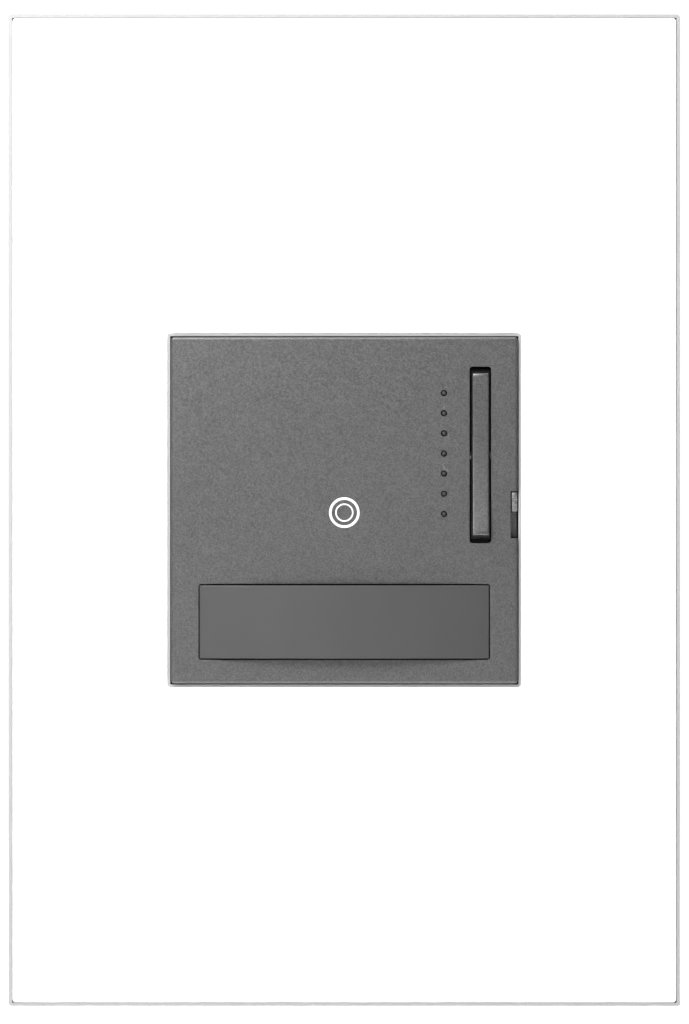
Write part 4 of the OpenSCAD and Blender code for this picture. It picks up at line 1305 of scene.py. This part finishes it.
# %% The header and the sheet
head_low, head_high = cad("board_header")
HEADER_UP = (head_low[1] + head_high[1]) / 2
strips = [
    soften(block("strip", (head_low[0], head_low[1], low), (head_high[0], head_high[1], high)), 0.2, 1)
    for low, high in ((head_low[2], head_low[2] + 2.5), (head_high[2] - 2.5, head_high[2]))
]
hand_over(gather(strips, "strips"), "header_strips", "root", "board_header", PART_BLACK)
header_pin = block("pin", (-7.0, HEADER_UP - 0.32, head_low[2]), (-6.36, HEADER_UP + 0.32, head_high[2]))
bevel_where(header_pin, lambda edge: abs(middle(edge).y + head_high[2]) < 0.01, 0.2, 1)
header_pins = gather(copies(header_pin, [(2.0 * index, 0, 0) for index in range(1, 7)]), "pins")
add_detail(header_pins, "header_pins", TINNED)
sheet = softened_copy("insulator_sheet", 0.06, 1)
hand_over(sheet, "insulating_sheet", "root", "insulator_sheet", PAPER)
print("control board made")

# %% [markdown]
# ## The power board
# The rear board switches the mains. A triac is screwed to an aluminium heat sink, a wound choke
# and a box capacitor quieten it, and a varistor and a fuse link protect it. The parts hang from
# the board's rear side by leads, and each lead ends on the other side in a cone of solder.

# %% The board and solder
POWER_LOW, POWER_HIGH = cad("power_board")
POWER_BACK, POWER_FRONT = POWER_LOW[2], POWER_HIGH[2]
rear_board = softened_copy("power_board", 0.08, 1)
hand_over(rear_board, "rear_board", "root", "power_board", BOARD_GREEN)
LEG_PITCH, TRIAC_LEG_UP = 2.54, 16.25
BOX_LEADS = [(1.8, -0.75), (11.8, -0.75)]
DISC_LEADS = [(3.5, -10.0), (8.5, -10.0)]
FUSE_LEADS = [(2.6, 8.0), (9.4, 8.0)]
CAN_LEADS = [(-9.75, 9.2), (-7.25, 9.2)]
CHOKE_LEADS = [(-13.0, -10.0), (-3.0, -10.0)]
lead_spots = [(x * LEG_PITCH, TRIAC_LEG_UP) for x in (-1, 0, 1)]
lead_spots += BOX_LEADS + DISC_LEADS + FUSE_LEADS + CAN_LEADS + CHOKE_LEADS
fillet = turned(
    "fillet", [(0, 0), (0.95, 0), (0.55, 0.18), (0.35, 0.5), (0.28, 0.8), (0, 0.9)],
    (*lead_spots[0], POWER_FRONT - 0.02), OUT, 16,
)
moves = [(x - lead_spots[0][0], y - lead_spots[0][1], 0) for x, y in lead_spots[1:]]
add_detail(gather(copies(fillet, moves), "fillets"), "solder_joints", TINNED)


def leads(spots, low, radius=0.35):
    """Round leads that run back from the board."""
    return [rod("lead", radius, POWER_BACK - low, (*place, low), OUT, 12) for place in spots]


tinned_leads = leads(BOX_LEADS, POWER_BACK - 0.5) + leads(CAN_LEADS, POWER_BACK - 0.5, 0.3)
tinned_leads += leads(DISC_LEADS, POWER_BACK - 4.2, 0.35) + leads(FUSE_LEADS, -11.2, 0.35)
add_detail(gather(tinned_leads, "leads"), "tinned_leads", TINNED)

# %% Triac, its screw and the heat sink
triac_low, triac_high = cad("power_triac")
TRIAC_SEAT = triac_high[1]
SCREW_OUT = -25.3
triac = block("triac", (-5, triac_low[1], -22), (5, TRIAC_SEAT - 0.45, -13))
bevel_where(triac, lambda edge: middle(edge).z < triac_low[1] + 0.01, 0.5, 1)
bevel_where(triac, lambda edge: abs(edge.verts[0].co.y - edge.verts[1].co.y) > 5, 0.2, 1)
hand_over(soften(triac, 0.08, 1), "triac_body", "root", "power_triac", PART_BLACK)
tab_plate = block("tab_plate", (-5, TRIAC_SEAT - 1.3, -28.5), (5, TRIAC_SEAT, -14))
bevel_where(
    tab_plate, lambda edge: abs(edge.verts[0].co.z - edge.verts[1].co.z) > 1
    and middle(edge).y > 28, 1.2, 3
)
merge(tab_plate, [rod("hole", 1.6, 6, (0, TRIAC_SEAT - 3, SCREW_OUT), UP, 32)], "DIFFERENCE")
triac_legs = []
for x in (-LEG_PITCH, 0, LEG_PITCH):
    leg = block("leg", (x - 0.35, TRIAC_LEG_UP - 0.25, -13.1), (x + 0.35, TRIAC_LEG_UP + 0.25, POWER_BACK))
    shoulder = block(
        "shoulder", (x - 0.6, TRIAC_LEG_UP - 0.25, -13.1), (x + 0.6, TRIAC_LEG_UP + 0.25, -11.6)
    )
    triac_legs.append(gather([soften(leg, 0.05, 1), soften(shoulder, 0.05, 1)], "leg"))
add_detail(gather([soften(tab_plate, 0.06, 1)] + triac_legs, "tab_plate"), "triac_tab", TINNED)
sink = softened_copy("heat_sink", 0.15)
hand_over(sink, "cooling_plate", "root", "heat_sink", ALUMINIUM)
clamp_screw = screw(
    [(2.7, 0.0), (2.7, 1.1), (2.4, 1.6), (1.8, 1.9), (0, 1.9)],
    1.5, 2.7, 0.5, recess(1.9, 1.5, 0.9, bar=0.7),
    neck=(1.22, 0.2),
)
places = [(0, TRIAC_SEAT - 1.3, SCREW_OUT)]
hand_over(set_screws(clamp_screw, places, DOWN), "triac_clamp", "root", "triac_screw", ZINC)

# %% The choke
CORE_AT = (-8, -4)
CORE_OUT, CORE_IN, CORE_TOP, CORE_END = 7.5, 4.0, -11.0, -17.0
core_h, core_soft = CORE_TOP - CORE_END, 0.5
core_outline = [
    (CORE_IN + core_soft, 0), (CORE_OUT - core_soft, 0),
    (CORE_OUT, core_soft), (CORE_OUT, core_h - core_soft),
    (CORE_OUT - core_soft, core_h), (CORE_IN + core_soft, core_h),
    (CORE_IN, core_h - core_soft), (CORE_IN, core_soft),
]
core = turned("core", core_outline, (*CORE_AT, CORE_END), OUT, 64)
hand_over(core, "choke_ring", "root", "choke_core", FERRITE)
WIRE_R = 0.42
WINDS = 23


def one_wind():
    """One closed turn of wire round the core's section, as a bevelled curve made a mesh."""
    reach = WIRE_R + 0.02
    bpy.ops.object.select_all(action="DESELECT")
    bpy.ops.curve.primitive_bezier_circle_add(radius=1)
    loop = bpy.context.object
    spline = loop.data.splines[0]
    middle_r, half_r, half_h = (CORE_IN + CORE_OUT) / 2, (CORE_OUT - CORE_IN) / 2 + reach, core_h / 2 + reach
    square = 0.85
    for point in spline.bezier_points:
        away_r, away_h = point.co.x, point.co.y
        point.co = (middle_r + away_r * half_r, 0, core_h / 2 + away_h * half_h)
        slope = (-away_h * half_r * square, 0, away_r * half_h * square)
        point.handle_left_type = point.handle_right_type = "FREE"
        point.handle_left = point.co - Vector(slope)
        point.handle_right = point.co + Vector(slope)
    loop.data.dimensions = "3D"
    loop.data.resolution_u, loop.data.bevel_depth, loop.data.bevel_resolution = 8, WIRE_R, 2
    bpy.ops.object.convert(target="MESH")
    return bpy.context.object


wind = one_wind()
winds = []
for index in range(WINDS):
    other = wind.copy()
    other.data = wind.data.copy()
    bpy.context.collection.objects.link(other)
    other.rotation_euler = (0, 0, math.radians(15 + index * 330 / WINDS))
    winds.append(settle(other))
bpy.data.objects.remove(wind)
winding = aim(gather(winds, "winding"), (*CORE_AT, CORE_END), OUT)
pick(winding, "FACE", lambda face: True)
bpy.ops.mesh.normals_make_consistent(inside=False)
close()
hand_over(winding, "choke_turns", "root", "choke_winding", COPPER, math.radians(60))
add_detail(gather(leads(CHOKE_LEADS, -17.0, 0.42), "ends"), "choke_ends", COPPER)

# %% Capacitors, varistor and fuse
box_low, box_high = cad("filter_capacitor")
box_cap = block("box", box_low, (box_high[0], box_high[1], box_high[2] - 0.4))
bevel_where(box_cap, lambda edge: abs(middle(edge).y + box_high[2] - 0.4) > 0.1, 0.6, 3)
feet = [
    soften(block(
        "foot", (x, box_low[1] + 0.6, box_high[2] - 0.6), (x + 1.2, box_high[1] - 0.6, box_high[2])
    ), 0.08, 1)
    for x in (box_low[0] + 0.4, box_high[0] - 1.6)
]
merge(box_cap, feet)
hand_over(box_cap, "box_capacitor", "root", "filter_capacitor", BOX_YELLOW)
tall_low, tall_high = cad("supply_capacitor")
tall_r, tall_h = (tall_high[0] - tall_low[0]) / 2, tall_high[2] - tall_low[2]
tall_outline = [
    (0, 0), (tall_r - 0.9, 0), (tall_r - 0.8, 0.12), (tall_r - 0.25, 0.12),
    (tall_r, 0.4), (tall_r, tall_h - 2.4),
    (tall_r - 0.35, tall_h - 2.0), (tall_r - 0.35, tall_h - 1.7), (tall_r, tall_h - 1.3),
    (tall_r, tall_h - 0.6), (tall_r - 0.35, tall_h - 0.35), (tall_r - 0.8, tall_h - 0.35),
    (tall_r - 0.9, tall_h), (0, tall_h),
]
tall = turned("tall", tall_outline, (-8.5, 9.2, tall_low[2]), OUT, 48)
TALL_RIGHT, TALL_UP = -8.5, 9.2
vent = [
    block(
        "vent", (TALL_RIGHT - a, TALL_UP - b, tall_low[2] - 1),
        (TALL_RIGHT + a, TALL_UP + b, tall_low[2] + 0.1)
    )
    for a, b in ((2.2, 0.12), (0.12, 2.2))
]
merge(tall, vent, "DIFFERENCE")
hand_over(tall, "can_capacitor", "root", "supply_capacitor", SLEEVE_NAVY)
disc_low, disc_high = cad("surge_varistor")
disc_r, disc_t = (disc_high[0] - disc_low[0]) / 2, disc_high[1] - disc_low[1]
disc_outline = [
    (0, 0), (disc_r * 0.80, 0.05), (disc_r * 0.93, disc_t * 0.14),
    (disc_r, disc_t * 0.38), (disc_r, disc_t * 0.62),
    (disc_r * 0.93, disc_t * 0.86), (disc_r * 0.80, disc_t - 0.05), (0, disc_t),
]
disc = turned("disc", disc_outline, (6, disc_low[1], -16), UP, 48)
drips = [
    turned(
        "drip", [(0, 0), (0.9, 0), (0.8, 1.0), (0.55, 2.0), (0.42, 2.6), (0, 2.7)],
        (x, y, -13.0), OUT, 16
    )
    for x, y in DISC_LEADS
]
hand_over(
    merge(disc, drips), "surge_disc", "root", "surge_varistor",
    DIPPED_BLUE, math.radians(45)
)
fuse_low, fuse_high = cad("fuse_link")
fuse_r, fuse_l = 1.2, fuse_high[0] - fuse_low[0]
cap_l, wall = 1.5, 0.12
fuse_outline = [
    (0, 0), (fuse_r - 0.15, 0), (fuse_r, 0.15), (fuse_r, cap_l), (fuse_r - wall, cap_l + 0.08),
    (fuse_r - wall, fuse_l - cap_l - 0.08), (fuse_r, fuse_l - cap_l), (fuse_r, fuse_l - 0.15),
    (fuse_r - 0.15, fuse_l), (0, fuse_l),
]
fuse = turned("fuse", fuse_outline, (fuse_low[0], 8, -11.2), RIGHT, 32)
hand_over(fuse, "fuse_tube", "root", "fuse_link", TINNED)
print("power board made")

# %% [markdown]
# ## Floor, light and camera
# The plate stands on a pale floor. A large soft light above and to the left of the camera
# gives the face its slow gradient, a long strip overhead draws the bright line along upper
# edges, and softer lights behind and to the side show the black body from the back. The world
# is plain white to the camera and dimmer to everything else, so that the plate keeps its edges.

# %% Floor
def stage_floor():
    """A wide pale floor under the plate."""
    bpy.ops.object.select_all(action="DESELECT")
    bpy.ops.mesh.primitive_plane_add(size=1.6, location=(0, 0, CAD_BOX[0][2]))
    floor = bpy.context.object
    floor.name = "floor"
    settle(floor)
    finish = Finish("floor_paper", emission_color=grey(1.0), emission_strength=0.5)
    finish.set(base_color=finish.blend(finish.noise(40, 2), grey(0.86), grey(0.88)), roughness=0.85)
    floor.data.materials.append(finish.material)


stage_floor()


# %% Lights
def soft_light(name, at, target, width, height, power):
    """An area light at a place in metres, pointed at a target."""
    light = bpy.data.lights.new(name, "AREA")
    light.shape, light.size, light.size_y, light.energy = "RECTANGLE", width, height, power
    lamp = bpy.data.objects.new(name, light)
    lamp.visible_camera = False
    bpy.context.collection.objects.link(lamp)
    lamp.location = at
    lamp.rotation_euler = (Vector(target) - Vector(at)).to_track_quat("-Z", "Y").to_euler()
    return lamp


soft_light("key", (-0.10, -0.24, 0.16), (0, 0, 0), 0.10, 0.10, 1.6)
soft_light("overhead", (0.0, -0.12, 0.50), (0, 0, 0), 0.50, 0.10, 1.6)
soft_light("back_left", (-0.7, 0.75, 0.45), (0, 0.01, 0), 0.6, 0.6, 5)
soft_light("back_right", (0.8, 0.6, 0.3), (0, 0.01, 0), 0.5, 0.5, 3.5)


def white_world(seen, felt):
    """A world that the camera sees at one brightness and surfaces feel at another."""
    world = bpy.data.worlds.new("studio")
    world.use_nodes = True
    bpy.context.scene.world = world
    nodes, links = world.node_tree.nodes, world.node_tree.links
    background = nodes["Background"]
    background.inputs["Color"].default_value = (1, 1, 1, 1)
    path = nodes.new("ShaderNodeLightPath")
    sums = nodes.new("ShaderNodeMath")
    sums.operation = "MULTIPLY_ADD"
    sums.inputs[1].default_value, sums.inputs[2].default_value = seen - felt, felt
    links.new(path.outputs["Is Camera Ray"], sums.inputs[0])
    links.new(sums.outputs[0], background.inputs["Strength"])


white_world(1.05, 0.30)
bpy.context.scene.view_settings.view_transform = "Standard"

# %% Camera
CAMERA_AWAY = 1.6
FRAME_HEIGHT = 0.1342
SENSOR = 36.0
CAMERA_RIGHT, CAMERA_UP = 0.00002, -0.00022


def product_camera():
    """A long lens straight on to the plate, so that its sides don't show."""
    camera = bpy.data.cameras.new("camera")
    camera.sensor_width = SENSOR
    camera.lens = SENSOR * CAMERA_AWAY / FRAME_HEIGHT
    camera.clip_start, camera.clip_end = 0.01, 20
    shown = bpy.data.objects.new("camera", camera)
    bpy.context.collection.objects.link(shown)
    shown.location = (CAMERA_RIGHT, -CAMERA_AWAY - FACE_FRONT * MM, CAMERA_UP)
    shown.rotation_euler = (math.pi / 2, 0, 0)
    bpy.context.scene.camera = shown


product_camera()

# %% The count and the end
print("pieces made:", len(MADE))
